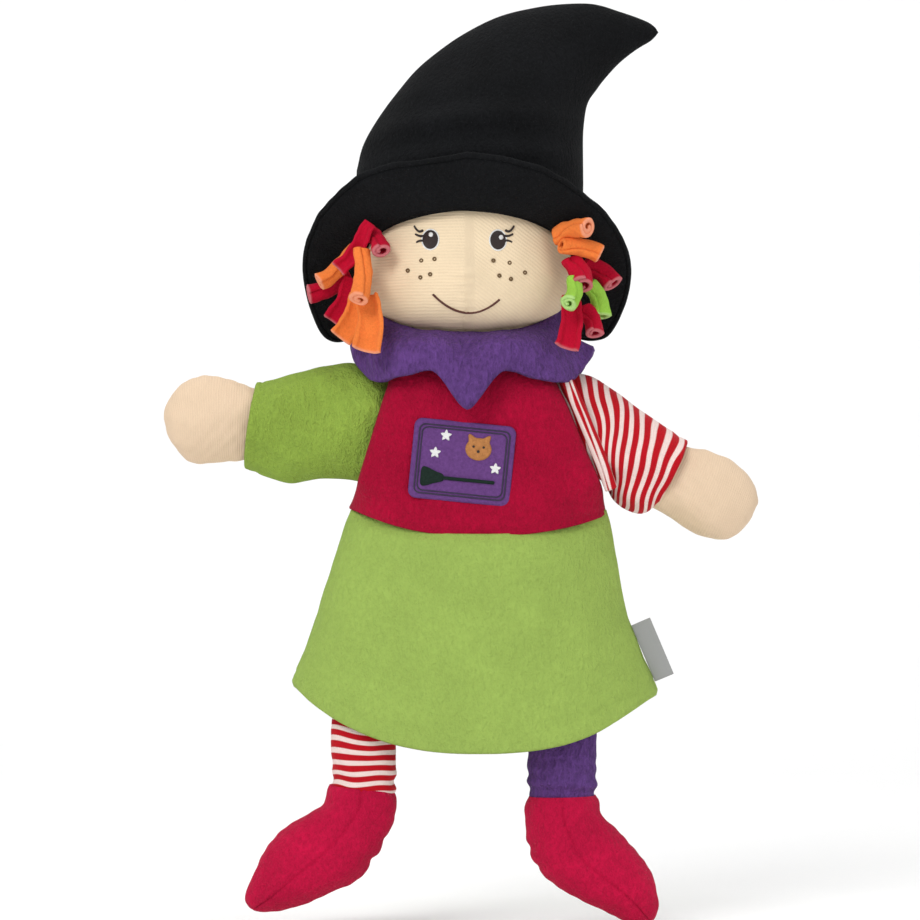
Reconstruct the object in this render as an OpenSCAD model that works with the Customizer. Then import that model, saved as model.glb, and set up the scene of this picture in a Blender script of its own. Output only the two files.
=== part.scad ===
// Witch hand puppet: fabric panels over stuffed parts, arms and legs that swing.
// Millimetres, Z up, front faces -Y. The origin is the centre of the hand opening at the hem.

/* [Body] */
// Half width of the skirt at the hem
hem_half = 81.4; // [70:0.5:84]
// Half depth of the skirt at the hem
hem_depth = 37; // [34:0.5:42]
// Thickness of the velour panels
velour_t = 1.6; // [1:0.1:2]
// Rise of the hem from the middle to the side seams
hem_rise = 27; // [20:1:30]

/* [Head] */
// Half depth of the head as a share of its half width
head_round = 0.84; // [0.75:0.01:0.9]
// Thickness of the knitted face fabric
knit_t = 1.2; // [0.8:0.1:1.6]
// Bore radius of the card finger tube
finger_r = 9.5; // [8:0.5:9.5]
// Depth of the finger tube
finger_len = 45; // [35:1:45]

/* [Hat] */
// Thickness of one ply of the hat
hat_t = 1.2; // [0.8:0.1:1.4]
// Half depth of the crown as a share of its half width
crown_round = 0.8; // [0.7:0.01:0.84]

/* [Arms] */
// Thickness of the sleeves and hands
sleeve_t = 1.8; // [1.2:0.1:2]
// Half depth of the sleeves
sleeve_depth = 15.5; // [14:0.5:16]

/* [Legs] */
// Distance from the middle to each leg
leg_x = 43.5; // [42:0.5:45]
// Height of the seam that the legs swing on
leg_z = 14; // [13:0.5:15]

/* [Detail] */
// Facets around half a panel
fine = 12; // [8:1:14]

/* [Hidden] */
gap = 0.15;
arm_r = [-43, 142];
arm_l = [49.5, 141];
neck_z = 190;
tube_z = 198;
patch_y = -27.9;

// ---- list helpers ----
function mix(a, b, t) = a + (b - a) * t;
function unit(v) = v / max(norm(v), 1e-9);
function total(v, i = 0) = i < len(v) ? v[i] + total(v, i + 1) : 0;
function mean(v) = [for (k = [0:2]) total([for (p = v) p[k]]) / len(v)];
function seg(t, tab, i = 0) = i >= len(tab) - 2 || t < tab[i + 1][0] ? i : seg(t, tab, i + 1);
// A smooth curve through the rows of a table, by its first column.
function curve(t, tab) = let (i = seg(t, tab), b = tab[i], c = tab[i + 1], u = (t - b[0]) / (c[0] - b[0]),
    a = tab[max(i - 1, 0)], d = tab[min(i + 2, len(tab) - 1)])
    (2 * b + (c - a) * u + (2 * a - 5 * b + 4 * c - d) * u * u + (3 * b - a - 3 * c + d) * u * u * u) / 2;
function six(p, f) = let (a = p[f[0]], b = p[f[1]], c = p[f[2]]) a * cross(b, c);
function out(p, f) = total([for (t = f) six(p, t)]) < 0
    ? f : [for (t = f) [t[2], t[1], t[0]]];

// Triangles between a grid's rows; each row has n points, wrapping if ring is true.
function bands(rows, n, ring, base = 0) = [for (i = [0:rows - 2], k = [0:n - (ring ? 1 : 2)])
    let (a = base + i * n + k, b = base + i * n + (k + 1) % n)
    each [[a, b, b + n], [a, b + n, a + n]]];

// A closed solid through rings of points; the ends are capped, or joined if loop is true.
module rings(r, loop = false) {
    n = len(r[0]);
    m = len(r);
    rr = loop ? concat(r, [r[0]]) : r;
    flat = [for (q = rr, p = q) p];
    pts = loop ? [for (q = r, p = q) p] : concat(flat, [mean(r[0]), mean(r[m - 1])]);
    side = [for (t = bands(len(rr), n, true)) [for (v = t) loop ? v % (m * n) : v]];
    caps = loop ? [] : [for (k = [0:n - 1]) let (c = m * n, e = (m - 1) * n)
        each [[(k + 1) % n, k, c], [e + k, e + (k + 1) % n, c + 1]]];
    polyhedron(pts, out(pts, concat(side, caps)), convexity = 8);
}

// A sheet with thickness between two grids of the same size; wrap joins its sides.
module sheet(o, i, wrap = false) {
    m = len(o);
    n = len(o[0]);
    h = m * n;
    pts = concat([for (q = o, p = q) p], [for (q = i, p = q) p]);
    front = bands(m, n, wrap);
    back = [for (t = bands(m, n, wrap, h)) [t[2], t[1], t[0]]];
    ends = [for (k = [0:n - (wrap ? 1 : 2)]) let (a = k, b = (k + 1) % n, e = (m - 1) * n)
        each [[b, a, h + a], [b, h + a, h + b], [e + a, e + b, h + e + b],
            [e + a, h + e + b, h + e + a]]];
    sides = wrap ? [] : [for (j = [0:m - 2]) let (a = j * n, b = a + n, c = a + n - 1, d = c + n)
        each [[a, b, h + b], [a, h + b, h + a], [d, c, h + c], [d, h + c, h + d]]];
    polyhedron(pts, out(pts, concat(front, back, ends, sides)), convexity = 8);
}

// ---- sections: [x, z] of the two outline points, half depth and middle y ----
function inset(s, t) = let (d = unit([s[2] - s[0], s[3] - s[1]]) * t)
    [s[0] + d[0], s[1] + d[1], s[2] - d[0], s[3] - d[1], max(s[4] - t, 0.6), s[5]];
function spot(s, a) = [(s[0] + s[2]) / 2 + (s[2] - s[0]) / 2 * cos(a),
    s[5] + s[4] * sin(a), (s[1] + s[3]) / 2 + (s[3] - s[1]) / 2 * cos(a)];
function loop_of(s, n) = [for (k = [0:n - 1]) spot(s, 360 * k / n)];
function loops(list, n) = [for (s = list) loop_of(s, n)];
function inner(list, t) = [for (s = list) inset(s, t)];
function back_to_front(v) = [for (i = [len(v) - 1:-1:0]) v[i]];

// A cup: skin of thickness t, open at the first section and closed past the last one.
module cup(list, t, n) {
    inside = inner([for (i = [0:len(list) - 2]) list[i]], t);
    rings(concat(back_to_front(loops(inside, n)), loops(list, n)));
}
// A tube open at both ends.
module tube(list, t, n) {
    rings(concat(back_to_front(loops(inner(list, t), n)), loops(list, n)), loop = true);
}

// ---- skirt and bodice surfaces ----
function hem_z(c) = hem_rise * pow(abs(c), 2.4);
function waist_z(c) = 94 + 10 * pow(abs(c), 2.2);
skirt_a = [[0, hem_half], [0.2, 75], [0.42, 68.6], [0.63, 64.2], [0.85, 60], [1, 56.4]];
skirt_c = [[0, 1.5], [0.4, 2.6], [1, 4.7]];
function skirt_pt(a, v, t) = let (c = cos(a))
    [lookup(v, skirt_c) + (lookup(v, skirt_a) - t) * c,
    (mix(hem_depth, 30.2, v) - t) * sin(a) * (1 + 0.03 * cos(6 * a) * (1 - v)),
    mix(hem_z(c), waist_z(c), v)];
module skirt_half(a0) {
    e = 0.35;
    function row(t, v) = [for (k = [0:2 * fine]) skirt_pt(a0 + e + (180 - 2 * e) * k / (2 * fine), v, t)];
    sheet([for (j = [0:7]) row(0, j / 7)], [for (j = [0:7]) row(velour_t, j / 7)]);
}

// Bodice rows: edge z left, edge z right, middle z, x left, x right, edge depth, depth
bodice_rows = [[106, 104.6, 94.8, -51.6, 61.1, 0.4, 29], [109, 108.4, 103, -50, 60, 1.6, 27.5],
    [113, 113, 110, -48.6, 59.3, 12, 27.5], [119, 119, 117, -47.2, 57, 19, 27.5],
    [130, 130, 129, -43.8, 52, 19.5, 27.5], [141, 141, 141, -40.4, 47.5, 19.5, 27.5],
    [152, 152, 152, -37, 43, 19, 27], [162, 160, 162, -34, 39, 14, 25.5],
    [168, 167, 167, -33, 36, 6, 23]];
function bodice_pt(r, s, t) = [mix(r[3], r[4], (s + 1) / 2) - sign(s) * t * pow(abs(s), 6),
    -(max(r[5] - t, 0.25) + (r[6] - r[5]) * pow(max(1 - pow(abs(s), 4), 0), 0.5))
    + (r[5] < t ? (t - r[5]) * pow(max(1 - pow(abs(s), 4), 0), 0.5) : 0),
    mix(r[2], s < 0 ? r[0] : r[1], pow(abs(s), 2.2))];
function yoke_pt(s, t) = let (x = 34.5 * s, r = 21 - t, in = abs(x) < r)
    [x, in ? -sqrt(r * r - x * x) - 0.25 : -0.25, in ? 172 + 5 * abs(x) / r
    : 177 - 6.5 * (abs(x) - r) / (34.5 - r)];
module bodice_half(dir) {
    n = 2 * fine;
    function grid(t) = concat([for (r = bodice_rows) [for (k = [0:n]) bodice_pt(r, 2 * k / n - 1, t)]],
        [[for (k = [0:n]) yoke_pt(2 * k / n - 1, t) - [0, 0, t > 0 ? 1 : 0]]]);
    scale([1, dir, 1]) sheet(grid(0), grid(velour_t));
}

module bodice_front() color("crimson") bodice_half(1);
module bodice_back() color("crimson") bodice_half(-1);
module skirt_front() color("yellowgreen") skirt_half(180);
module skirt_back() color("yellowgreen") skirt_half(0);
// The turned-up hem inside the skirt; the legs are sewn to its front.
module hem_facing() {
    n = 4 * fine;
    function row(t, v) = [for (k = [0:n - 1]) skirt_pt(360 * k / n, v, t) + [0, 0, 1.2]];
    color("olivedrab") sheet([for (j = [0:3]) row(velour_t + 0.5, 0.13 * j / 3)],
        [for (j = [0:3]) row(velour_t + 1.6, 0.13 * j / 3)], wrap = true);
}
module neck_band() color("firebrick") translate([0, 0, 165]) difference() {
    cylinder(h = 9, r = 18.4, $fn = 96);
    translate([0, 0, -1]) cylinder(h = 11, r = 15, $fn = 96);
}

// Collar: a pointed ring from the neck to its scalloped edge, all in plush.
edge_front = [[0, 148], [5, 151], [12, 160.8], [17, 165], [22, 165.4], [30, 163], [45, 160.6],
    [58, 162], [68, 167], [80, 175], [90, 177.5]];
function fold90(a) = let (b = abs(a > 180 ? a - 360 : a)) b > 90 ? 180 - b : b;
module collar() {
    n = 60;
    function rim(a) = [(a > 180 ? 51.5 : 54.5) * sin(a), -37 * cos(a), lookup(fold90(a), edge_front)];
    function top(a) = [44.5 * sin(a), -21.5 * cos(a), 176.2 + 10.5 * pow(abs(sin(a)), 3)];
    function pt(a, v, t) = mix(top(a), rim(a), v) + [sin(a), -cos(a), 0.6] * (5 * v * (1 - v) + t);
    color("rebeccapurple") sheet([for (j = [0:4]) [for (k = [0:n - 1]) pt(360 * k / n, j / 4, 1.6 - 0.8 * pow(j / 2 - 1, 2))]],
        [for (j = [0:4]) [for (k = [0:n - 1]) pt(360 * k / n, j / 4, -0.8)]], wrap = true);
}

// ---- patch on the bodice: felt with a stitched frame, a cat's head, a broom and stars ----
module on_patch(y, h) translate([-2.2, patch_y - y, 125.4]) rotate([90, 5.7, 0]) linear_extrude(h) children();
module pad2(w, h, r) {
    square([w - 2 * r, h], center = true);
    square([w, h - 2 * r], center = true);
    for (x = [-1, 1], y = [-1, 1]) translate([x * (w / 2 - r), y * (h / 2 - r)]) circle(r, $fn = 24);
}
module star(r) polygon([for (k = [0:9]) (k % 2 ? 0.42 : 1) * r * [sin(36 * k), cos(36 * k)]]);
module patch_base() color("mediumpurple") on_patch(0, 1.2) pad2(44.3, 34.9, 3.5);
module patch_frame() color("indigo") on_patch(1.25, 0.6) difference() {
    pad2(39.5, 30, 3);
    pad2(37.7, 28.2, 2.2);
}
module patch_cat() color("burlywood") on_patch(1.25, 0.9) union() {
    translate([6.5, 6]) scale([1, 0.85]) circle(5.6, $fn = 30);
    for (s = [-1, 1]) translate([6.5 + 3.6 * s, 10.2]) polygon([[-2, -2.2], [2, -2.2], [0.9 * s, 3]]);
}
module patch_broom() color("darkgreen") on_patch(1.25, 0.9) union() {
    translate([3, -7.6]) square([22, 1.6], center = true);
    polygon([[-7.5, -8.6], [-7.5, -6.6], [-16, -3.6], [-17, -7.6], [-16, -11.6]]);
}
module patch_stars() color("white") on_patch(1.25, 0.9) for (p = [[-8, 10.8], [-12, 3], [14.6, -1.5]])
    translate(p) star(2.6);
// Blank woven tag, folded along the side seam and free to flap.
module side_label() color("silver") translate([74.6, 0, 54]) rotate([0, -22.9, 0]) {
    translate([0, 0, -26.5]) cylinder(h = 26.5, r = 0.8, $fn = 24);
    translate([0.4, -0.5, -26.5]) cube([8.6, 1, 26.5]);
}

// ---- head ----
head_a = [[180, 16], [183, 25], [187, 35], [193, 42], [200, 45.5], [207, 46.6], [216, 46], [226, 43.5],
    [236, 39], [246, 32], [254, 21], [258, 9], [260, 1]];
function head_pt(a, z, t) = let (w = lookup(z, head_a), b = w * head_round)
    [max(w - t, 0.5) * cos(a), max(b - t, 0.5) * sin(a)
    - (sin(a) < 0 ? 2.6 * exp(-pow(w * cos(a) / 7, 2) - pow((z - 207) / 6, 2)) : 0), z];
head_levels = [183, 187, 193, 200, 207, 216, 226, 236, 246, 254, 258];
module head_half(a0) {
    e = 0.3;
    function row(z, t) = [for (k = [0:2 * fine]) head_pt(a0 + e + (180 - 2 * e) * k / (2 * fine), z, t)];
    last = len(head_levels) - 1;
    sheet([for (z = head_levels) row(z, 0)],
        [for (i = [0:last]) row(head_levels[i] + (i == 0 ? 0.6 : i == last ? -0.8 : 0), knit_t)]);
}
module face_panel() color("antiquewhite") head_half(180);
module head_back_panel() color("antiquewhite") head_half(0);
// Stuffing with a channel for the card tube and room round the neck.
module head_filling() {
    n = 24;
    function disc(r, z) = [for (k = [0:n - 1]) [r * cos(360 * k / n), r * sin(360 * k / n), z]];
    function egg(z) = [for (k = [0:n - 1]) head_pt(360 * k / n, z, knit_t + 1)];
    color("whitesmoke") rings(concat([disc(finger_r + 1.9, tube_z + finger_len + 2.5), disc(finger_r + 1.9, tube_z - 1),
        disc(17.8, tube_z - 4), disc(17.8, 184.5)], [for (z = [187, 193, 200, 207, 216, 226, 236, 246, 251]) egg(z)]));
}
module finger_tube() color("tan") translate([0, 0, tube_z]) difference() {
    cylinder(h = finger_len + 1.5, r = finger_r + 1.5, $fn = 96);
    translate([0, 0, -1]) cylinder(h = finger_len + 1, r = finger_r, $fn = 96);
}
module neck_tube() color("antiquewhite") translate([0, 0, 160]) difference() {
    cylinder(h = 33, r = 14.4, $fn = 96);
    translate([0, 0, -1]) cylinder(h = 35, r = 12, $fn = 96);
}
// A point on the face at x, z, lifted off the fabric by h.
function face_pt(x, z, h) = let (w = lookup(z, head_a), c = min(abs(x) / w, 0.98), b = w * head_round)
    [x, -b * sqrt(1 - c * c) - h - 2.6 * exp(-pow(x / 7, 2) - pow((z - 207) / 6, 2)), z];
// Oval of thread on the face.
module oval(x, z, rx, rz, h, h0 = 0.3) {
    n = rx < 1 ? 8 : 16;
    rings([for (s = [[h0, 1], [h, 1], [h + 0.25, 0.6]])
        [for (k = [0:n - 1]) face_pt(x + s[1] * rx * cos(360 * k / n), z + s[1] * rz * sin(360 * k / n), s[0])]]);
}
// Line of thread along points [x, z] on the face.
module stitch(path, w, h) rings([for (i = [0:len(path) - 1])
    let (d = path[min(i + 1, len(path) - 1)] - path[max(i - 1, 0)], s = unit([-d[1], d[0]]) * w / 2, p = path[i])
    [face_pt(p[0] + s[0], p[1] + s[1], 0.35), face_pt(p[0] + s[0], p[1] + s[1], h),
    face_pt(p[0] - s[0], p[1] - s[1], h), face_pt(p[0] - s[0], p[1] - s[1], 0.35)]]);
module eye_right() color("black") oval(-15.9, 221.5, 3.5, 4.4, 1.1);
module eye_left() color("black") oval(13.3, 221.2, 3.5, 4.4, 1.1);
module lashes() color("black") for (s = [[-19.8, -1], [17.2, 1]], k = [0:2])
    stitch([for (i = [0:3]) [s[0] + s[1] * (k * 0.3 + 1.3 * i), 225.6 - 2.1 * k - 0.5 * i + 0.12 * i * i]], 0.8, 0.9);
module freckles() color("sienna") for (p = [[-19.8, 212.4], [-14.1, 213], [-25.7, 208.2], [-20.2, 205.1],
    [-16, 206.4], [11.3, 212.3], [18.3, 211.4], [25, 207.3], [13.9, 205.8], [18.9, 204.4]])
    oval(p[0], p[1], 0.8, 0.8, 0.9);
module mouth_stitch() color("saddlebrown")
    stitch([for (i = [0:8]) let (u = i / 4 - 1) [14.3 * u - 0.4, 189.9 + 6.7 * u * u - 1.1 * u]], 1.1, 1);

// ---- hat ----
crown = [[-48.6, 256, 51.8, 255, 40, 0], [-45.3, 265.8, 51.8, 265.8, 38.5, 0], [-34, 283.8, 52.1, 275.9, 34.5, 0],
    [-17.2, 301.8, 53.5, 283.8, 29, 0], [7.5, 318.6, 56.9, 289.4, 23, 0], [29.9, 325.3, 60.3, 293.9, 17, 0],
    [52.4, 327, 67, 300.6, 11.5, 0], [68, 323.4, 74.8, 306.8, 7.6, 0], [79, 319.3, 80.6, 310.4, 4, 0]];
// The band that fits the head is tilted: high on the forehead, low at the nape.
function band_pt(a, t) = [(48.3 + t) * cos(a), (40.8 + t) * sin(a), 214 - 22 * sin(a)];
function bulge_pt(a, t) = [1 + (49.6 + t) * cos(a), (40.5 + t) * sin(a), 233 - 12 * sin(a)];
module crown_half(a0) {
    e = 0.3;
    n = 2 * fine;
    function at(k) = a0 + e + (180 - 2 * e) * k / n;
    function grid(t) = concat([[for (k = [0:n]) band_pt(at(k), -t)], [for (k = [0:n]) bulge_pt(at(k), -t)]],
        [for (s = crown) let (q = inset(s, t)) [for (k = [0:n]) spot(q, at(k))]]);
    sheet(grid(0), grid(hat_t));
}
module hat_crown_front() color("#1c1e20") crown_half(180);
module hat_crown_back() color("#1c1e20") crown_half(0);
module hat_filling() color("whitesmoke") rings(loops(inner([for (i = [1:8]) crown[i]], hat_t + 0.6), 24));

// Brim edge by angle from the front: radius in x, y and z. It turns up in front.
brim_edge = [[0, 0, -50, 257], [30, 34, -44, 254], [50, 53, -34, 245], [70, 66, -20, 230], [90, 72, -4, 212],
    [110, 69, 12, 192], [125, 60, 26, 180], [145, 40, 42, 187], [165, 18, 49, 190], [180, 0, 50, 190]];
function brim_pt(a, v, h) = let (b = abs(a > 180 ? a - 360 : a), s = a > 180 ? -1 : 1,
    row = curve(b, brim_edge), e = [row[1], row[2], row[3]],
    i = [49 * sin(b), -41.5 * cos(b), 214 + 22 * cos(b)], p = mix(i, e, v),
    across = unit(e - i), along = unit([cos(b), 0.84 * sin(b), -0.4 * sin(b)]),
    up = unit(cross(along, across)) * (h + 2.2 * sin(180 * v))) [s * (p[0] + up[0]), p[1] + up[1], p[2] + up[2]];
module brim(h0, h1) {
    n = 4 * fine;
    function grid(h) = [for (j = [0:4]) [for (k = [0:n - 1]) brim_pt(360 * k / n, 0.02 + 0.98 * j / 4, h)]];
    sheet(grid(h0), grid(h1), wrap = true);
}
module hat_brim_top() color("#1c1e20") brim(-hat_t - 0.1, -0.1);
module hat_brim_under() color("#26282b") brim(0.1, hat_t + 0.1);

// ---- hair: rolled strips of fleece, from a to b, w wide, bowed outwards ----
module strip(a, b, w, bow = 1.5) {
    n = 10;
    d = unit(b - a);
    s = unit(cross(d, [0, 1, 0]));
    o = cross(s, d);
    function ring(i, r) = let (u = i / 4, c = mix(a, b, u) + s * bow * sin(180 * u), f = 0.9 + 0.1 * sin(180 * u))
        [for (k = [0:n - 1]) c + s * f * r * cos(360 * k / n) + o * f * r * 0.72 * sin(360 * k / n)];
    rings(concat([for (i = [4:-1:0]) ring(i, w / 2 - 1.5)], [for (i = [0:4]) ring(i, w / 2)]), loop = true);
}
module hair_a() color("red") strip([-44.4, -29.5, 226.6], [-35.8, -33, 216.9], 7);
module hair_b() color("red") strip([-41.8, -38, 228.8], [-55.4, -31, 209], 6.5);
module hair_c() color("coral") strip([-50.3, -22, 218.7], [-63.8, -15, 203.3], 8);
module hair_d() color("red") strip([-53.7, -12, 206.4], [-68.6, -7, 197.1], 7.5);
module hair_e() color("red") strip([-50.6, -21, 205.5], [-59.4, -15.5, 186.6], 8.5);
module hair_f() color("coral") strip([-43.4, -39.2, 214.6], [-46.2, -40.6, 195.4], 9);
module hair_g() color("coral") strip([-46.4, -22, 196.7], [-53.8, -27, 179], 8);
module hair_h() color("coral") strip([-41.4, -30, 195.4], [-42.6, -39, 173.8], 12);
module hair_i() color("coral") strip([39.6, -35.8, 225], [52.8, -35.8, 228.5], 8.2);
module hair_j() color("coral") strip([42.2, -35, 218.7], [57.2, -22, 215.6], 8);
module hair_k() color("red") strip([46.2, -26.5, 212.4], [51, -27.5, 202], 9.6);
module hair_l() color("red") strip([51.9, -12, 210.8], [63.8, -9, 203.7], 10);
module hair_m() color("yellowgreen") strip([48, -36, 203.3], [43.6, -38, 193.2], 8);
module hair_n() color("yellowgreen") strip([54.1, -19.5, 202], [58.5, -14, 188.8], 9);
module hair_o() color("red") strip([43.6, -31, 193.2], [42.2, -37.5, 177.5], 10);
module hair_p() color("red") strip([50.5, -22, 193.2], [55, -23, 181.3], 8.4);

// ---- arms: each sleeve's root turns between the bodice panels; hands bend at the cuffs ----
sd = sleeve_depth;
sleeve_r_list = [[-29, 160.6, -29, 123.4, 12.4, 0], [-36, 164.6, -36, 119.4, 13.6, 0],
    [-51.6, 168.8, -50, 117.4, sd, 0], [-68, 165.8, -68, 117.2, sd + 0.5, 0],
    [-83, 162.4, -82, 118, sd + 0.5, 0], [-92.5, 160.3, -97, 122.5, sd, 0]];
hand_r_list = [[-84, 153, -84, 130, 7.5, 0], [-88, 156, -88, 128.5, 10.4, 0], [-97, 157, -98, 127.4, 11.4, 0],
    [-105.4, 161, -105.4, 126.5, 12.8, 0], [-114, 162.4, -114.5, 125, 12.5, 0],
    [-121.5, 161.7, -121.5, 125.6, 11.5, 0], [-127.5, 157.5, -127.5, 130.2, 9.5, 0],
    [-131.4, 151, -131.4, 137.5, 6, 0], [-133, 146, -133, 142.5, 1.6, 0]];
sleeve_l_list = [[44.4, 162, 29.6, 132.8, 12.4, 0], [53.6, 161.6, 36, 125, 13.6, 0],
    [63.6, 157.4, 45.4, 121.4, 15, 0], [75.9, 148.8, 58.9, 115.4, sd, 0], [84.3, 143.3, 66.4, 108.2, sd, 0],
    [91, 138.7, 73.6, 104.4, sd, 0], [96.8, 134.6, 82.6, 106.6, sd - 1, 0]];
hand_l_list = [[86.6, 131, 77.4, 113.6, 7.5, 0], [91.6, 130.4, 80.8, 110.8, 9.8, 0],
    [95.6, 131.2, 84.6, 109.6, 10.6, 0], [101, 131.2, 87.6, 103.6, 11.8, 0], [106, 130.5, 91.4, 99.6, 12.6, 0], [113, 127.6, 99.4, 94.9, 12.5, 0],
    [119, 123.6, 106.5, 91.8, 11.5, 0], [124.2, 118.2, 114, 91.6, 9.5, 0], [126.9, 112.4, 120, 95.4, 6, 0],
    [127.4, 107, 124.6, 100.6, 1.8, 0]];
module sleeve_right() color("olivedrab") tube(sleeve_r_list, sleeve_t, 24);
module sleeve_left() color("mistyrose") tube(sleeve_l_list, sleeve_t, 24);
module hand_right() color("antiquewhite") cup(hand_r_list, sleeve_t, 20);
module hand_left() color("antiquewhite") cup(hand_l_list, sleeve_t, 20);

// ---- legs and shoes: stuffed, hung from the hem facing ----
// A leg's flat top seam is a rolled edge on the hinge line; z falls down the list.
function leg_list(x, w, t) = [for (s = [[leg_z - 1.5, 0.93, 2.6], [leg_z - 6, 0.98, 7.5], [leg_z - 14, 1, 10.5],
    [-10, 0.97, 11], [-18, 0.86, 10.2], [-24, 0.74, 8.6]])
    [x - s[1] * w + t, s[0], x + s[1] * w - t, s[0], s[2] - t, -14]];
module leg(x, w) {
    rings(concat(back_to_front(loops([for (s = leg_list(x, w, 1.2)) s], 16)), loops(leg_list(x, w, 0), 16)), loop = true);
    translate([x - w * 0.93, -14, leg_z]) rotate([0, 90, 0]) cylinder(h = 2 * w * 0.93, r = 2.4, $fn = 24);
}
module leg_fill(x, w) rings(loops([for (i = [1:5]) leg_list(x, w, 1.4)[i]], 16));
module leg_right() color("mistyrose") leg(-leg_x - 1.5, 14);
module leg_right_filling() color("whitesmoke") leg_fill(-leg_x - 1.5, 14);
module leg_left() color("rebeccapurple") leg(leg_x - 2, 15);
module leg_left_filling() color("whitesmoke") leg_fill(leg_x - 2, 15);

shoe_r_list = [[-61, -15.5, -30.6, -18, 13.4, -14], [-62.4, -24, -31.6, -27, 13.8, -14],
    [-68, -27.6, -34.5, -38, 14, -14.5], [-75, -31.5, -39.5, -47.5, 14.5, -15], [-82.5, -38, -48, -56, 15, -15.5],
    [-89, -45.5, -59, -62, 14.5, -16], [-93.5, -54.5, -70, -66.6, 12.5, -16.5], [-95.8, -61, -79, -69.3, 9, -17],
    [-95.4, -66.6, -87.5, -70.2, 3, -17]];
shoe_l_list = [[25.4, -21, 57.4, -20, 13.6, -14], [25.8, -31, 58.4, -28, 13.8, -14], [27, -42.5, 63.4, -33.6, 14, -14.5],
    [30, -52, 69, -40, 14.5, -15], [38, -59, 75.8, -46.6, 15, -15.5], [49, -65, 79.8, -52.7, 14.5, -16],
    [60, -70, 82.3, -59.5, 12.5, -16.5], [69, -74, 83.2, -67, 9, -17], [75, -75, 81.6, -72.4, 3, -17]];
module shoe_right() color("crimson") cup(shoe_r_list, 1.6, 20);
module shoe_left() color("crimson") cup(shoe_l_list, 1.6, 20);
module shoe_right_filling() color("whitesmoke") shoe_stuff(shoe_r_list);
module shoe_left_filling() color("whitesmoke") shoe_stuff(shoe_l_list);
module shoe_stuff(list) rings(loops(concat([inset([for (c = [0:5]) mix(list[1][c], list[2][c], 0.75)], 2.2)],
    inner([for (i = [2:7]) list[i]], 1.9)), 20));

// ---- one line per node ----
bodice_front();
bodice_back();
skirt_front();
skirt_back();
hem_facing();
neck_band();
collar();
patch_base();
patch_frame();
patch_cat();
patch_broom();
patch_stars();
side_label();
neck_tube();
face_panel();
head_back_panel();
head_filling();
finger_tube();
eye_right();
eye_left();
lashes();
freckles();
mouth_stitch();
hat_crown_front();
hat_crown_back();
hat_brim_top();
hat_brim_under();
hat_filling();
hair_a();
hair_b();
hair_c();
hair_d();
hair_e();
hair_f();
hair_g();
hair_h();
hair_i();
hair_j();
hair_k();
hair_l();
hair_m();
hair_n();
hair_o();
hair_p();
sleeve_right();
hand_right();
sleeve_left();
hand_left();
leg_right();
leg_right_filling();
shoe_right();
shoe_right_filling();
leg_left();
leg_left_filling();
shoe_left();
shoe_left_filling();
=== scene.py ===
# %% [markdown]
# # A witch hand puppet in velour, knit and fleece
# The puppet is a glove: a velour dress that a hand fills, a stuffed head with a
# pointed hat, and arms and legs that swing. The CAD model fixes where everything
# is. Here each fabric piece is made again as the soft thing it is, on a grid of
# points worked out with numpy, and then given a cloth that suits it.

import math

import bmesh
import bpy
import numpy as np
from mathutils import Matrix, Vector


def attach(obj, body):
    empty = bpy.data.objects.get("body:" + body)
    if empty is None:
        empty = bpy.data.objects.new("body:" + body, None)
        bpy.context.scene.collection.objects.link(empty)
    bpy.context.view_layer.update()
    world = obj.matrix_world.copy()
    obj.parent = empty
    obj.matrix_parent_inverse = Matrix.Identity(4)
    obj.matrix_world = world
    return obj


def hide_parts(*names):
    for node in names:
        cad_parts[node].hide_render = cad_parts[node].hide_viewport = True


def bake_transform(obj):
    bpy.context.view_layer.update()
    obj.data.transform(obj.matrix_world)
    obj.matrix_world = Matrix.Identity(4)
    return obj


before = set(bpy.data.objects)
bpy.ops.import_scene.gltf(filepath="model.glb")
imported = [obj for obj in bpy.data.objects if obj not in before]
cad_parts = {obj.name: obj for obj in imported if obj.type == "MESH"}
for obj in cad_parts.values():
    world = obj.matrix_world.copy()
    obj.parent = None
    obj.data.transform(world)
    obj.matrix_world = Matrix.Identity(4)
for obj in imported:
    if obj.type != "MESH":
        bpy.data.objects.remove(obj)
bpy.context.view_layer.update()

# %% [markdown]
# ## Shapes from two parameters
# Every piece starts as rows of points. A table lists a few sections of the piece
# and a smooth curve is run through them, which is how a pattern cutter grades
# between two sizes. Lengths here are in millimetres, and become metres in the mesh.

# %% Smooth tables and wandering noise
def smooth(table, count):
    """Rows spaced evenly along a smooth curve through the table's rows (Catmull-Rom)."""
    p = np.array(table, float)
    run = np.r_[0, np.cumsum(np.linalg.norm(np.diff(p, axis=0), axis=1))]
    at = np.linspace(0, run[-1], count)
    i = np.clip(np.searchsorted(run, at, side="right") - 1, 0, len(p) - 2)
    u = ((at - run[i]) / (run[i + 1] - run[i]))[:, None]
    a, b, c, d = p[np.maximum(i - 1, 0)], p[i], p[i + 1], p[np.minimum(i + 2, len(p) - 1)]
    return (2 * b + (c - a) * u + (2 * a - 5 * b + 4 * c - d) * u**2 + (3 * b - a - 3 * c + d) * u**3) / 2


def wander(p, size, seed, octaves=3):
    """Cloth-like noise of about -1 to 1: sine waves in fixed directions, each octave half the size."""
    rng = np.random.default_rng(seed)
    total = np.zeros(p.shape[:-1])
    for octave in range(octaves):
        for _ in range(4):
            way = rng.normal(size=3)
            way *= 2 * np.pi / (size * 0.5**octave * np.linalg.norm(way))
            total += np.sin(p @ way + rng.uniform(0, 2 * np.pi)) * 0.5**octave
    return total / 3.2


def bump_at(d, width):
    """A soft bell, 1 where d is 0 and almost nothing at twice the width."""
    return np.exp(-((d / width) ** 2))


def circle(count):
    """Evenly spaced angles round one turn."""
    return np.linspace(0, 2 * np.pi, count, endpoint=False)


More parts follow.
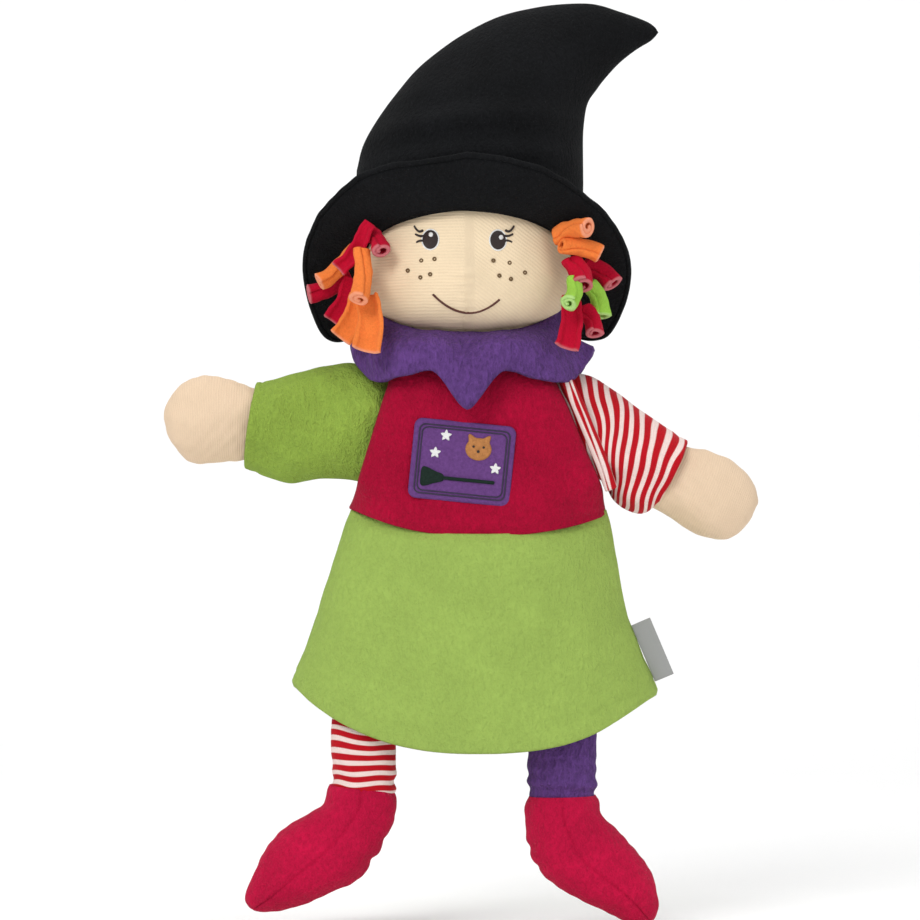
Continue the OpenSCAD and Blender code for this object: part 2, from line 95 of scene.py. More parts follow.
def crossed(rows, cols):
    """Every pair from two lists of values, as two grids."""
    return np.meshgrid(rows, cols, indexing="ij")


def unit(v):
    return v / np.maximum(np.linalg.norm(v, axis=-1, keepdims=True), 1e-9)


def facing(grid, wrap):
    """The outward direction at each grid point: the cross product of its two grid directions."""
    across = (np.roll(grid, -1, 1) - np.roll(grid, 1, 1)) if wrap else np.gradient(grid, axis=1)
    n = unit(np.cross(across, np.gradient(grid, axis=0)))
    middle = grid.mean(axis=(0, 1))
    return n if (n * (grid - middle)).sum() > 0 else -n


# %% Grids into meshes
def put_mesh(name, points, quads, uv):
    """One smooth mesh object from points in mm, four corners for each face and a UV for each corner."""
    mesh = bpy.data.meshes.new(name)
    mesh.vertices.add(len(points))
    mesh.vertices.foreach_set("co", (points * 0.001).astype(np.float32).ravel())
    mesh.loops.add(quads.size)
    mesh.loops.foreach_set("vertex_index", quads.astype(np.int32).ravel())
    mesh.polygons.add(len(quads))
    mesh.polygons.foreach_set("loop_start", np.arange(0, quads.size, 4, dtype=np.int32))
    mesh.polygons.foreach_set("use_smooth", np.ones(len(quads), bool))
    mesh.uv_layers.new(name="cloth").data.foreach_set("uv", (uv * 0.001).astype(np.float32).ravel())
    mesh.update(calc_edges=True)
    mesh.validate()
    work = bmesh.new()
    work.from_mesh(mesh)
    bmesh.ops.remove_doubles(work, verts=work.verts, dist=2e-6)
    bmesh.ops.recalc_face_normals(work, faces=work.faces)
    work.to_mesh(mesh)
    work.free()
    piece = bpy.data.objects.new(name, mesh)
    bpy.context.collection.objects.link(piece)
    return piece


def points_of(mesh):
    """A mesh's points in metres, as rows of x, y, z."""
    at = np.zeros(len(mesh.vertices) * 3, np.float32)
    mesh.vertices.foreach_get("co", at)
    return at.reshape(-1, 3)


def lattice(rows, cols, wrap_rows, wrap_cols, u, v):
    """The faces of a grid, and each corner's UV, which runs on past a wrapped edge without a jump."""
    i, k = crossed(np.arange(rows - (not wrap_rows)), np.arange(cols - (not wrap_cols)))
    i, k = i.ravel(), k.ravel()
    corner_i, corner_k = np.stack([i, i, i + 1, i + 1], 1), np.stack([k, k + 1, k + 1, k], 1)
    quads = (corner_i % rows) * cols + corner_k % cols
    return quads, np.stack([u[corner_k], v[corner_i]], -1).reshape(-1, 2)


def lengths(grid, axis):
    """The average distance travelled along one direction of a grid, in mm, with one more step for wrapping."""
    step = np.linalg.norm(np.diff(grid, axis=axis), axis=2).mean(axis=1 - axis)
    return np.r_[0, np.cumsum(step), step.sum() + step[-1]]


def tube(name, grid, thick):
    """A fabric tube, open at both ends: the grid outside, its copy moved in by thick, and rounded rims."""
    out = facing(grid, True)
    inside = grid - out * thick
    end = unit(grid[-1] - grid[-2]) * thick * 0.4
    start = unit(grid[0] - grid[1]) * thick * 0.4
    rim_end, rim_start = (grid[-1] + inside[-1]) / 2 + end, (grid[0] + inside[0]) / 2 + start
    ring = np.concatenate([grid, rim_end[None], inside[::-1], rim_start[None]])
    v = lengths(grid, 0)[:-1]
    v = np.r_[v, v[-1], v[::-1], v[0], v[0]]
    quads, uv = lattice(len(ring), ring.shape[1], True, True, lengths(grid, 1), v)
    return put_mesh(name, ring.reshape(-1, 3), quads, uv)


def panel(name, grid, thick):
    """A fabric panel with four free edges: front and back skins and rounded edges all round."""
    out = facing(grid, False)
    inside = grid - out * thick
    middle = (grid + inside) / 2
    left = middle[:, :1] + unit(grid[:, :1] - grid[:, 1:2]) * thick * 0.4
    right = middle[:, -1:] + unit(grid[:, -1:] - grid[:, -2:-1]) * thick * 0.4
    loop = np.concatenate([grid, right, inside[:, ::-1], left], axis=1)
    core = np.concatenate([middle, right, middle[:, ::-1], left], axis=1)
    top = core[-1] + unit(core[-1] - core[-2]) * thick * 0.4
    bottom = core[0] + unit(core[0] - core[1]) * thick * 0.4
    body = np.concatenate([bottom[None], loop, top[None]])
    u, v = lengths(grid, 1)[:-1], lengths(grid, 0)[:-1]
    u = np.r_[u, u[-1], u[::-1], u[0], u[0]]
    quads, uv = lattice(len(body), loop.shape[1], False, True, u, np.r_[v[0], v, v[-1]])
    return put_mesh(name, body.reshape(-1, 3), quads, uv)


def closed(name, grid, start=None, end=None):
    """A stuffed piece: a wrapped grid whose first and last rows shrink to a point each."""
    first = grid[0].mean(0) if start is None else np.array(start, float)
    last = grid[-1].mean(0) if end is None else np.array(end, float)
    cols = grid.shape[1]
    full = np.concatenate([np.tile(first, (1, cols, 1)), grid, np.tile(last, (1, cols, 1))])
    quads, uv = lattice(len(full), cols, False, True, lengths(grid, 1), lengths(full, 0))
    return put_mesh(name, full.reshape(-1, 3), quads, uv)


def around(table, rows, cols, square=2.0):
    """Rings through sections [x, z, x, z, half depth, y]: two outline points and a depth, as an oval."""
    s = smooth(table, rows)
    a = circle(cols)
    c, d = np.cos(a), np.sin(a)
    c, d = np.sign(c) * abs(c) ** (2 / square), np.sign(d) * abs(d) ** (2 / square)
    x = (s[:, :1] + s[:, 2:3]) / 2 + (s[:, 2:3] - s[:, :1]) / 2 * c
    z = (s[:, 1:2] + s[:, 3:4]) / 2 + (s[:, 3:4] - s[:, 1:2]) / 2 * c
    y = s[:, 5:6] + s[:, 4:5] * d
    return np.stack([x, y, z], -1)


def sweep(name, path, radius, sides=10, flat=1.0, loop=False, face=None):
    """A cord of thread along a path: an oval ring carried square to the path, flattened towards face."""
    path = np.array(path, float)
    way = unit(np.roll(path, -1, 0) - np.roll(path, 1, 0)) if loop else unit(np.gradient(path, axis=0))
    face = np.array([0, -1.0, 0]) if face is None else face
    side = unit(np.cross(way, np.broadcast_to(face, way.shape)))
    up = np.cross(side, way)
    a = circle(sides)[None, :, None]
    r = np.broadcast_to(radius, len(path))[:, None, None]
    grid = path[:, None] + r * (side[:, None] * np.cos(a) + up[:, None] * np.sin(a) * flat)
    if not loop:
        return closed(name, grid, path[0] - way[0] * r[0, 0] * 0.6, path[-1] + way[-1] * r[-1, 0] * 0.6)
    quads, uv = lattice(len(grid), sides, True, True, lengths(grid, 1), lengths(grid, 0))
    return put_mesh(name, grid.reshape(-1, 3), quads, uv)


# %% [markdown]
# ## Cloths
# Velour, plush, jersey, felt and fleece all scatter light off standing fibres, so
# each one is a rough surface with sheen over it, painted shade where the nap turns
# in soft patches, and a fine bump. They differ in scale, pattern and colour.

# %% Shader helpers
def linear(r, g, b):
    """A colour from 0-255 screen values, as the light values that a shader takes."""
    v = np.array([r, g, b]) / 255
    return (*np.where(v <= 0.04045, v / 12.92, ((v + 0.055) / 1.055) ** 2.4), 1.0)


def blank(name):
    """A material with one Principled shader, ready for its nodes."""
    m = bpy.data.materials.new(name)
    m.use_nodes = True
    t = m.node_tree
    return m, t, t.nodes["Principled BSDF"]


def add(t, kind, out=0, props=(), **sockets):
    """A node whose sockets, named with _ for a space, are set to a value or linked; returns one output."""
    n = t.nodes.new("ShaderNode" + kind)
    for key, value in dict(props).items():
        setattr(n, key, value)
    for key, value in sockets.items():
        spot = n.inputs[int(key[1:])] if key[1:].isdigit() else n.inputs[key.replace("_", " ")]
        if isinstance(value, bpy.types.NodeSocket):
            t.links.new(value, spot)
        else:
            spot.default_value = value
    return n.outputs[out]


def math_of(t, operation, a, b=0.0):
    return add(t, "Math", props={"operation": operation}, i0=a, i1=b)


def times(t, a, b):
    return math_of(t, "MULTIPLY", a, b)


def plus(t, a, b):
    return math_of(t, "ADD", a, b)


def wave_of(t, value, pitch):
    """A sine along value, one whole wave in each pitch."""
    return math_of(t, "SINE", times(t, value, 2 * math.pi / pitch))


def across_and_up(t, where):
    return [add(t, "SeparateXYZ", out=i, Vector=where) for i in (0, 1)]


def blend_colour(t, amount, a, b, mode="MIX"):
    n = t.nodes.new("ShaderNodeMix")
    n.data_type, n.blend_type = "RGBA", mode
    for spot, value in ((n.inputs[0], amount), (n.inputs[6], a), (n.inputs[7], b)):
        if isinstance(value, bpy.types.NodeSocket):
            t.links.new(value, spot)
        else:
            spot.default_value = value
    return n.outputs[2]


def steps(t, value, low, high):
    """The value carried from low..high to 0..1, held at both ends."""
    return add(t, "MapRange", Value=value, From_Min=low, From_Max=high)


def place(t):
    return add(t, "TexCoord", out=3)


def cloth_uv(t):
    return add(t, "UVMap", props={"uv_map": "cloth"})


def noise(t, where, scale, detail=3.0, rough=0.55):
    return add(t, "TexNoise", Vector=where, Scale=scale, Detail=detail, Roughness=rough)


def shade(colour, k):
    return (*[min(c * k, 1) for c in colour[:3]], 1.0)


def finish_cloth(m, base, rough, sheen, bump, specular=0.15):
    """Wires in the colour and the bump (height, strength, distance); sets sheen (weight, roughness, tint)."""
    t, s = m.node_tree, m.node_tree.nodes["Principled BSDF"]
    t.links.new(base, s.inputs["Base Color"])
    t.links.new(add(t, "Bump", Height=bump[0], Strength=bump[1], Distance=bump[2]), s.inputs["Normal"])
    for socket, value in zip(("Roughness", "Specular IOR Level", "Sheen Weight", "Sheen Roughness", "Sheen Tint"),
                             (rough, specular, *sheen)):
        s.inputs[socket].default_value = value
    return m


# %% Pile cloths: velour, plush and fleece
def pile(name, colour, nap=0.16, sheen=0.06, fibre=1500, depth=0.6, clump=520, tint=0.3, comb=0.6):
    """A cut pile: painted shade in soft patches where the nap lies another way, combed clumps of fibre with painted
    shade in the gaps between them and painted highlights on fibre tips, and sheen at its edges.
    """
    m, t, s = blank(name)
    at = place(t)
    combed = add(t, "Mapping", Vector=at, Rotation=(0.0, 0.5, 0.0), Scale=(1.0, 1.0, comb))
    patch = steps(t, noise(t, at, 38, 3), 0.35, 0.65)
    tuft = steps(t, noise(t, combed, clump, 3, 0.6), 0.36, 0.64)
    fleck = steps(t, noise(t, combed, fibre, 2, 0.6), 0.3, 0.7)
    # painted nap shading: the colour is made lighter and darker in soft patches, for light catching nap that lies
    # another way
    base = blend_colour(t, patch, shade(colour, 1 - nap), shade(colour, 1 + nap))
    # painted shade: the colour is darkened in the gaps between tufts, where shade falls among the fibres
    tuft_gap_shade = times(t, math_of(t, "SUBTRACT", 1.0, tuft), 0.55)
    base = blend_colour(t, tuft_gap_shade, base, shade(colour, 1 - 2.4 * nap))
    # painted highlight: the flecks of fibre tips are made lighter, for light catching them; the same flecks also raise
    # the bump
    base = blend_colour(t, times(t, fleck, 0.4), base, shade(colour, 1 + 2.2 * nap))
    height = plus(t, times(t, tuft, 0.8), times(t, fleck, 0.5))
    tip = (*[tint + (1 - tint) * c for c in colour[:3]], 1.0)
    return finish_cloth(m, base, 0.95, (sheen, 0.45, tip), (height, depth, 0.0012))


def fleece(name, colour):
    """Fleece: the same pile, paler where the strip is cut."""
    m = pile(name, colour, nap=0.08, depth=0.35, clump=900, comb=1.0)
    t = m.node_tree
    s = t.nodes["Principled BSDF"]
    old = s.inputs["Base Color"].links[0].from_socket
    cut = add(t, "Attribute", out=2, props={"attribute_name": "cut"})
    pale = (*[0.22 + 0.78 * c for c in colour[:3]], 1.0)
    t.links.new(blend_colour(t, times(t, cut, 0.7), old, pale), s.inputs["Base Color"])
    return m


# %% Knits: rib for the skin, striped jersey for a sleeve and a leg
def rib_knit(name, colour, pitch=1.05, uv="rib"):
    """Fine ribs across the piece: a sine of the rib map, with small stitches along each rib, and painted shade in the
    grooves between ribs.
    """
    m, t, s = blank(name)
    where = add(t, "UVMap", props={"uv_map": uv})
    at = place(t)
    bend = add(t, "VectorMath", props={"operation": "ADD"}, i0=where, i1=add(
        t, "VectorMath", props={"operation": "SCALE"}, i0=noise(t, at, 60, 2), Scale=0.0016))
    x, y = across_and_up(t, bend)
    wave, loop = wave_of(t, y, pitch * 0.001), wave_of(t, x, pitch * 0.0009)
    rib = steps(t, wave, -1, 1)
    fuzz = steps(t, noise(t, at, 1500, 3, 0.7), 0.25, 0.75)
    warm = steps(t, noise(t, at, 30, 3), 0.35, 0.65)
    base = blend_colour(t, warm, shade(colour, 0.95), shade(colour, 1.04))
    # painted shade: the colour is darkened in the troughs between ribs
    base = blend_colour(t, times(t, math_of(t, "SUBTRACT", 1.0, rib), 0.32), base, shade(colour, 0.76))
    base = blend_colour(t, times(t, fuzz, 0.35), base, shade(colour, 1.12))
    height = plus(t, times(t, rib, 0.8), plus(t, times(t, loop, 0.12), times(t, fuzz, 0.4)))
    return finish_cloth(m, base, 0.92, (0.06, 0.5, (1, 0.95, 0.88, 1)), (height, 0.35, 0.0004))


def striped_jersey(name, dark, light, pitch):
    """Stripes along V of the cloth map, made wavy by noise, over rows of small knitted loops."""
    m, t, s = blank(name)
    where, at = cloth_uv(t), place(t)
    x, y = across_and_up(t, where)
    y = plus(t, y, times(t, math_of(t, "SUBTRACT", noise(t, at, 34, 1), 0.5), 0.0075))
    edge = steps(t, plus(t, wave_of(t, y, pitch), times(t, wave_of(t, x, 0.0009), 0.14)), 0.04, 0.34)
    fuzz = steps(t, noise(t, at, 1300, 3, 0.7), 0.25, 0.75)
    red = blend_colour(t, fuzz, shade(dark, 0.8), shade(dark, 1.2))
    white = blend_colour(t, fuzz, shade(light, 0.85), shade(light, 1.06))
    height = plus(t, times(t, wave_of(t, y, 0.0008), 0.3), times(t, fuzz, 0.5))
    return finish_cloth(m, blend_colour(t, edge, red, white), 0.9, (0.05, 0.5, (1, 0.9, 0.9, 1)), (height, 0.5, 0.0004))


# %% Thread, felt and woven ribbon
def thread(name, colour, pitch=0.00045, sheen=0.3):
    """Embroidery thread: fine parallel strands, a little glossy along each one, with painted highlights along the
    strands and painted shade between them.
    """
    m, t, s = blank(name)
    at = place(t)
    skew = add(t, "Mapping", Vector=at, Rotation=(0.0, 0.7, 0.0))
    wave = add(t, "TexWave", out=1, Vector=skew, Scale=0.314 / pitch, Distortion=1.5, Detail=2.0)
    # painted highlight and shade: the strand wave makes the colour lighter on each strand and darker between strands
    base = blend_colour(t, wave, shade(colour, 0.7), shade(colour, 1.25))
    return finish_cloth(m, base, 0.55, (sheen, 0.4, (1, 1, 1, 1)), (wave, 0.6, 0.0003), 0.5)


def felt(name, colour):
    """Felt: matted fibres with no direction, so only noise."""
    m, t, s = blank(name)
    at = place(t)
    mat = steps(t, noise(t, at, 700, 5, 0.7), 0.3, 0.7)
    base = blend_colour(t, mat, shade(colour, 0.78), shade(colour, 1.18))
    return finish_cloth(m, base, 0.95, (0.06, 0.5, shade(colour, 1.6)), (mat, 0.6, 0.0005), 0.1)


def ribbon(name, colour):
    """Woven ribbon: warp and weft as two crossed sines on the cloth map, with painted shade where the yarns dip and
    painted highlights where they cross over.
    """
    m, t, s = blank(name)
    x, y = across_and_up(t, cloth_uv(t))
    weave = steps(t, times(t, wave_of(t, x, 0.0005), wave_of(t, y, 0.0005)), -1, 1)
    # painted shade and highlight: the colour is darker where the weave dips and lighter where it rises
    base = blend_colour(t, weave, shade(colour, 0.8), shade(colour, 1.12))
    return finish_cloth(m, base, 0.5, (0.05, 0.4, (1, 1, 1, 1)), (weave, 0.5, 0.0002), 0.5)


# %% This puppet's cloths
crimson_velour = pile("crimson_velour", linear(160, 4, 46))
rose_velour = pile("rose_velour", linear(184, 14, 60))
green_velour = pile("green_velour", linear(150, 176, 86), nap=0.08)
sleeve_velour = pile("sleeve_velour", linear(146, 174, 72), nap=0.1, depth=0.9, clump=420)
purple_plush = pile("purple_plush", linear(93, 60, 123), nap=0.26, fibre=900, depth=1.0, clump=420, sheen=0.1,
                    comb=0.45)
black_velour = pile("black_velour", linear(14, 15, 17), nap=0.3, sheen=0.012, clump=700)
red_fleece = fleece("red_fleece", linear(182, 8, 44))
orange_fleece = fleece("orange_fleece", linear(232, 124, 58))
green_fleece = fleece("green_fleece", linear(150, 200, 74))
skin_knit = rib_knit("skin_knit", linear(229, 208, 176), pitch=1.35)
hand_knit = rib_knit("hand_knit", linear(219, 194, 166), uv="cloth")
stripes = striped_jersey("stripes", linear(178, 10, 26), linear(236, 214, 208), 0.0047)
purple_felt = felt("purple_felt", linear(100, 64, 122))
tan_felt = felt("tan_felt", linear(176, 120, 72))
bottle_felt = felt("bottle_felt", linear(30, 44, 38))
dark_thread = thread("dark_thread", linear(44, 30, 62), sheen=0.05)
eye_thread = thread("eye_thread", linear(40, 26, 24), pitch=0.0005, sheen=0.02)
brown_thread = thread("brown_thread", linear(86, 40, 30), sheen=0.03)
freckle_thread = thread("freckle_thread", linear(106, 80, 44), sheen=0.03)
white_thread = thread("white_thread", linear(240, 238, 234), sheen=0.05)
grey_ribbon = ribbon("grey_ribbon", linear(152, 153, 152))
print(len(bpy.data.materials), "materials")


# %% Dressing a piece
def dress(piece, cloth, nodes=(), body=None):
    """Gives a piece its cloth, hides the CAD nodes it stands for, and attaches it to the body it rides."""
    piece.data.materials.append(cloth)
    if nodes:
        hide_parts(*nodes)
    if body:
        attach(piece, body)
    return piece


# %% [markdown]
# ## Skirt
# The skirt is two flared velour panels seamed at the sides. Velour is heavy enough
# to hang in shallow flutes that fade out towards the waist, and its hem is turned
# up and blind-stitched, which shows as a faint line a little above the edge.

# %% Skirt panels
def hem_z(c):
    """The hem rises to the side seams, a little less on the puppet's left."""
    return np.where(c > 0, 23.0, 27.0) * abs(c) ** 2.4


def waist_z(c):
    """The waist seam sags in the middle."""
    return 94 + 10.5 * abs(c) ** 2.2


def skirt_point(a, v):
    """The skirt at angle a and height v (0 hem, 1 waist): an oval that widens to the hem, with flutes."""
    c, d = np.cos(a), np.sin(a)
    half = np.interp(v, [0, 0.03, 0.1, 0.2, 0.42, 0.63, 0.85, 1], [80.2, 80.9, 78.9, 75, 68.6, 64.4, 60.2, 56.9])
    middle = np.interp(v, [0, 0.4, 1], [3.4, 2.8, 4.7])
    depth = 37 + (30.5 - 37) * v
    x, y = middle + half * c, depth * d
    flute = (np.sin(5 * a + 0.6) * 0.9 + np.sin(3 * a - 1.1) * 1.1) * (1 - v) ** 1.3
    tuck = (-1.6 * bump_at(v - 1, 0.035) + 0.5 * bump_at(v - 0.93, 0.05)) * np.abs(d) ** 0.7
    hem_line = -0.35 * bump_at(v - 0.085, 0.008)
    seam = -1.1 * bump_at(np.abs(c) - 1, 0.004)
    p = np.stack([x, y, hem_z(c) * (1 - v) + waist_z(c) * v], -1)
    soft = wander(p, 60, 3) * 0.6 * (1 - 0.4 * v) + wander(p * [1, 1, 0.4], 14, 4) * 0.16
    return p + np.stack([c, d, 0 * c], -1) * (flute + tuck + hem_line + seam + soft)[..., None]


def skirt_panel(name, turn, node):
    v, a = crossed(np.linspace(0, 1, 90), np.linspace(turn + 0.004, turn + np.pi - 0.004, 170))
    piece = dress(panel(name, skirt_point(a, v), 1.6), green_velour, [node], "body")
    return piece


skirt_panel("skirt_front_cloth", np.pi, "skirt_front")
skirt_panel("skirt_back_cloth", 0.0, "skirt_back")

v, a = crossed(np.linspace(0.008, 0.13, 14), circle(240))
facing_grid = skirt_point(a, v) - np.stack([np.cos(a), np.sin(a), 0 * a], -1) * 2.2
hem = dress(tube("hem_facing_cloth", facing_grid, 0.9), green_velour, ["hem_facing"], "body")
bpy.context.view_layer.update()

# %% [markdown]
# ## Bodice
# Two crimson panels, open at the sides where the sleeves enter. Each row of the
# panel runs from one armhole edge to the other, flat over the patch and curving
# back at the sides, and the top row climbs to the neck.

# %% Bodice panels
# Rows: edge z left, edge z right, middle z, x left, x right, edge depth, full depth.
BODICE_ROWS = [
    [105.6, 102.8, 93.6, -51.9, 61.3, 0.4, 29.4], [107.5, 105.5, 99, -50.9, 60.7, 1, 29.6],
    [110, 109, 104.5, -49.8, 60, 4, 29],
    [114, 113.5, 111, -48.4, 59.2, 13, 28.6], [119, 119, 117, -47.2, 57.2, 18.5, 28.4],
    [130, 130, 129, -43.8, 52.2, 19.5, 28.2], [141, 141, 141, -40.4, 47.6, 19.5, 28],
    [152, 152, 152, -37, 43, 18.5, 27.4], [161, 160, 161, -34, 39, 15, 26],
    [167, 166, 167, -33.2, 36.6, 8, 23.5], [170.5, 169.5, 171.5, -33, 35, 0.4, 19]]


def bodice_panel(name, side, node):
    """Rows s from -1 to 1 between the edges; the depth falls off as a squared-off oval."""
    r = smooth(BODICE_ROWS, 90)
    s = np.linspace(-1, 1, 130)[None]
    col = [r[:, i : i + 1] for i in range(7)]
    x = col[3] + (col[4] - col[3]) * (s + 1) / 2
    round_off = np.sqrt(np.maximum(1 - s**4, 0))
    y = -(np.maximum(col[5], 0.4) + (col[6] - col[5]) * round_off)
    z = col[2] + (np.where(s < 0, col[0], col[1]) - col[2]) * np.abs(s) ** 2.2
    p = np.stack([x, y + 0 * x, z], -1)
    p[..., 1] += wander(p * [1, 0, 0.45], 30, 11, 2) * 1.0 * np.clip((p[..., 2] - 96) / 14, 0, 1)
    p[..., 1] += 1.2 * bump_at(z - waist_z((x - 4.7) / 56.4), 2.2)
    p[..., 1] = np.minimum(p[..., 1], -0.35)
    p[..., 1] *= side
    piece = dress(panel(name, p, 1.5), crimson_velour, [node], "body")
    return piece


bodice_panel("bodice_front_cloth", 1, "bodice_front")
bodice_panel("bodice_back_cloth", -1, "bodice_back")

# %% [markdown]
# ## Collar
# A thick plush collar with a pointed, scalloped edge. It is drawn as a band from
# the neck to that edge, and puffed up between them so that its edge rolls under.

# %% Collar
EDGE = [[0, 148.2], [3, 149.4], [6, 152.8], [12, 160.8], [17, 165], [22, 165.4], [30, 163], [45, 160.8],
        [58, 162], [68, 167], [80, 174], [90, 176]]
edge_curve = smooth(EDGE, 200)


def collar_point(a, v):
    """The collar at angle a from the front and distance v from the neck (0) to the scalloped edge (1)."""
    deg = np.degrees(np.abs((a + np.pi) % (2 * np.pi) - np.pi))
    deg = np.where(deg > 90, 180 - deg, deg)
    s, c = np.sin(a), np.cos(a)
    rim = np.stack([np.where(s < 0, 51.5, 54.8) * s, -37 * c, np.interp(deg, edge_curve[:, 0], edge_curve[:, 1])], -1)
    top = np.stack([42.5 * s, -21 * c, 182.4 + 11.0 * np.abs(s) ** 3.2], -1)
    p = top + (rim - top) * v[..., None]
    way = unit(np.stack([s, -c, 0.5 + 0 * s], -1))
    puff = 7.5 * (1 - np.where(s > 0, 1.5, 0.5) * np.abs(s) ** 4) * np.sin(np.pi * v) ** 0.8
    puff = puff + np.sin(a * 9 + 1) * 0.9 * v + wander(p, 22, 21) * 0.9
    return p + way * puff[..., None]


v, a = crossed(np.linspace(0, 1, 40), circle(300))
collar = dress(tube("collar_plush", collar_point(a, v), 3.2), purple_plush, ["collar"], "body")

# %% [markdown]
# ## Neck
# A short knitted neck joins the head to the dress. It is hardly seen, but it must
# be there when the head nods. It is a plain tube with a little slack in it.

# %% Neck band and neck
a = circle(90)


def ring_tube(profile):
    """A tube around Z from a list of [radius, z]."""
    q = smooth(profile, 24)
    return np.stack([q[:, :1] * np.cos(a), q[:, :1] * np.sin(a), q[:, 1:] + 0 * a], -1)


neck = dress(tube("neck_knit", ring_tube([[14.6, 160], [14.2, 168], [14.9, 176], [14.2, 185], [14.4, 193]]), 1.8),
             hand_knit, ["neck_tube"], "neck")
band = dress(tube("neck_band_cloth", ring_tube([[18, 165.3], [18.6, 169.5], [18, 173.7]]), 2.6),
             crimson_velour, ["neck_band"], "body")

# %% [markdown]
# ## Head
# The head is a knitted bag stuffed until it is round. A dart under the chin pulls
# the knit into puckers, and a pinch of the stuffing makes a small nose. The ribs of
# the knit run level on one half and slant on the other, so they get a map of their own.

# %% Head
HEAD_A = [[1, 260], [9, 259], [21, 255], [32, 246], [39, 236], [43.5, 226], [46, 216], [46.6, 207],
          [45.5, 200], [42, 193], [35, 187], [25, 183], [15, 181.2]]
HEAD_ROUND = 0.84  # depth as a share of width
head_profile = smooth(HEAD_A, 120)


def head_radius(z):
    return np.interp(z, head_profile[::-1, 1], head_profile[::-1, 0])


def features(x, z):
    """How far the face stands out at x, z: a nose, full cheeks, and the pull of the chin dart."""
    nose = 3.0 * bump_at(x - 0.5, 7) * bump_at(z - 208, 6)
    cheeks = 1.0 * (bump_at(x + 20, 12) + bump_at(x - 20, 12)) * bump_at(z - 205, 12)
    crease = -0.8 * bump_at(z - 204.6 - 0.06 * x, 0.9) * bump_at(x + 1, 4.5)
    dart_depth = np.interp(z, [180, 190, 205, 214], [1.1, 0.9, 0.45, 0.0])
    dart = -dart_depth * bump_at(x + 1 - 0.6 * np.sin(z * 0.4), 0.9)
    pucker = 0.25 * np.sin(z * 1.9) * bump_at(x + 1, 5) * np.interp(z, [182, 208, 214], [1, 0.6, 0])
    return nose + cheeks + crease + dart + pucker


def on_face(x, z, lift=0.0):
    """The point of the face over x, z, lifted off it towards the viewer."""
    x, z = np.asarray(x, float), np.asarray(z, float)
    w = head_radius(z)
    y = -HEAD_ROUND * w * np.sqrt(np.maximum(1 - (x / w) ** 2, 0.02)) - features(x, z) - lift
    return np.stack([x, y, z], -1)


a = circle(260)
r, z = head_profile[:, :1], head_profile[:, 1:]
head_grid = np.stack([r * np.cos(a), HEAD_ROUND * r * np.sin(a), z + 0 * a], -1)
front = np.clip(-np.sin(a) * 3, 0, 1)
head_grid[..., 1] -= features(head_grid[..., 0], head_grid[..., 2]) * front
head_grid += facing(head_grid, True) * wander(head_grid, 26, 31, 2)[..., None] * 0.35
head = closed("head_knit", head_grid, (0, 0, 260.2), (0, 0, 181))
dress(head, skin_knit, ["face_panel", "head_back_panel", "head_filling", "finger_tube"], "head")

corner = np.zeros(len(head.data.loops), np.int32)
head.data.loops.foreach_get("vertex_index", corner)
at = points_of(head.data)[corner]
slant = np.clip((at[:, 0] + 0.001) / 0.004, 0, 1)
rib_y = at[:, 2] * (1 - slant) + (at[:, 2] * 0.80 + at[:, 0] * 0.60) * slant
rib_map = head.data.uv_layers.new(name="rib")
rib_map.data.foreach_set("uv", np.stack([at[:, 0] + at[:, 1], rib_y], -1).astype(np.float32).ravel())
print("head", len(head.data.vertices), "points")

# %% [markdown]
# ## Face stitching
# The eyes are padded satin stitch: an oval of thread that stands up from the knit,
# with a white outline and a white catch-light. Lashes and mouth are single lines
# of thread laid on the face, and the freckles are knots.

# %% Face stitching
def dome(name, x, z, rx, rz, height, tilt=0.0):
    """An oval button on the face: rings from its centre to its rim, high in the middle, tucked in at the rim."""
    v = np.r_[np.linspace(0.06, 0.97, 12), 1.0][:, None]
    b = circle(48)[None]
    dx, dz = rx * v * np.cos(b), rz * v * np.sin(b)
    dx, dz = dx * math.cos(tilt) - dz * math.sin(tilt), dx * math.sin(tilt) + dz * math.cos(tilt)
    top = on_face(x + dx, z + dz, height * np.sqrt(np.maximum(1 - v**2.6, 0)) - 0.25)
    under = on_face(x + dx, z + dz, -0.6)[::-1][1:]
    return closed(name, np.concatenate([top, under]))


for side, x, z in (("right", -15.9, 221.5), ("left", 13.3, 221.2)):
    dress(dome(f"eye_{side}_satin", x, z, 3.6, 4.4, 1.3), eye_thread, [f"eye_{side}"], "head")
    b = circle(72)
    outline = on_face(x + 3.62 * np.cos(b), z + 4.42 * np.sin(b), 0.1)
    dress(sweep(f"eye_{side}_outline", outline, 0.34, 8, 0.8, loop=True), white_thread, (), "head")
    glint = (-15.7, 223.6) if side == "right" else (14.6, 222.4)
    dress(dome(f"eye_{side}_light", *glint, 1.15, 1.25, 1.95), white_thread, (), "head")

lash_parts = []
for side, x0, way in (("right", -18.6, -1), ("left", 16.0, 1)):
    for k in range(3):
        s = np.linspace(0, 1, 14)
        x = x0 + way * ((0.6 - 0.5 * k) + 3.7 * s)
        z = 225.6 - 2.5 * k + (2.0 - 1.1 * k) * s - (2.4 - 1.7 * k) * s * (1 - s) * 2.2
        lash_parts.append(sweep(f"lash_{side}_{k}", on_face(x, z, 0.3), 0.58 * (1 - 0.3 * s), 8, 0.8))


def joined(name, parts):
    """Several finished meshes as one piece."""
    work = bmesh.new()
    for part in parts:
        work.from_mesh(part.data)
        bpy.data.objects.remove(part)
    mesh = bpy.data.meshes.new(name)
    work.to_mesh(mesh)
    work.free()
    piece = bpy.data.objects.new(name, mesh)
    bpy.context.collection.objects.link(piece)
    return piece


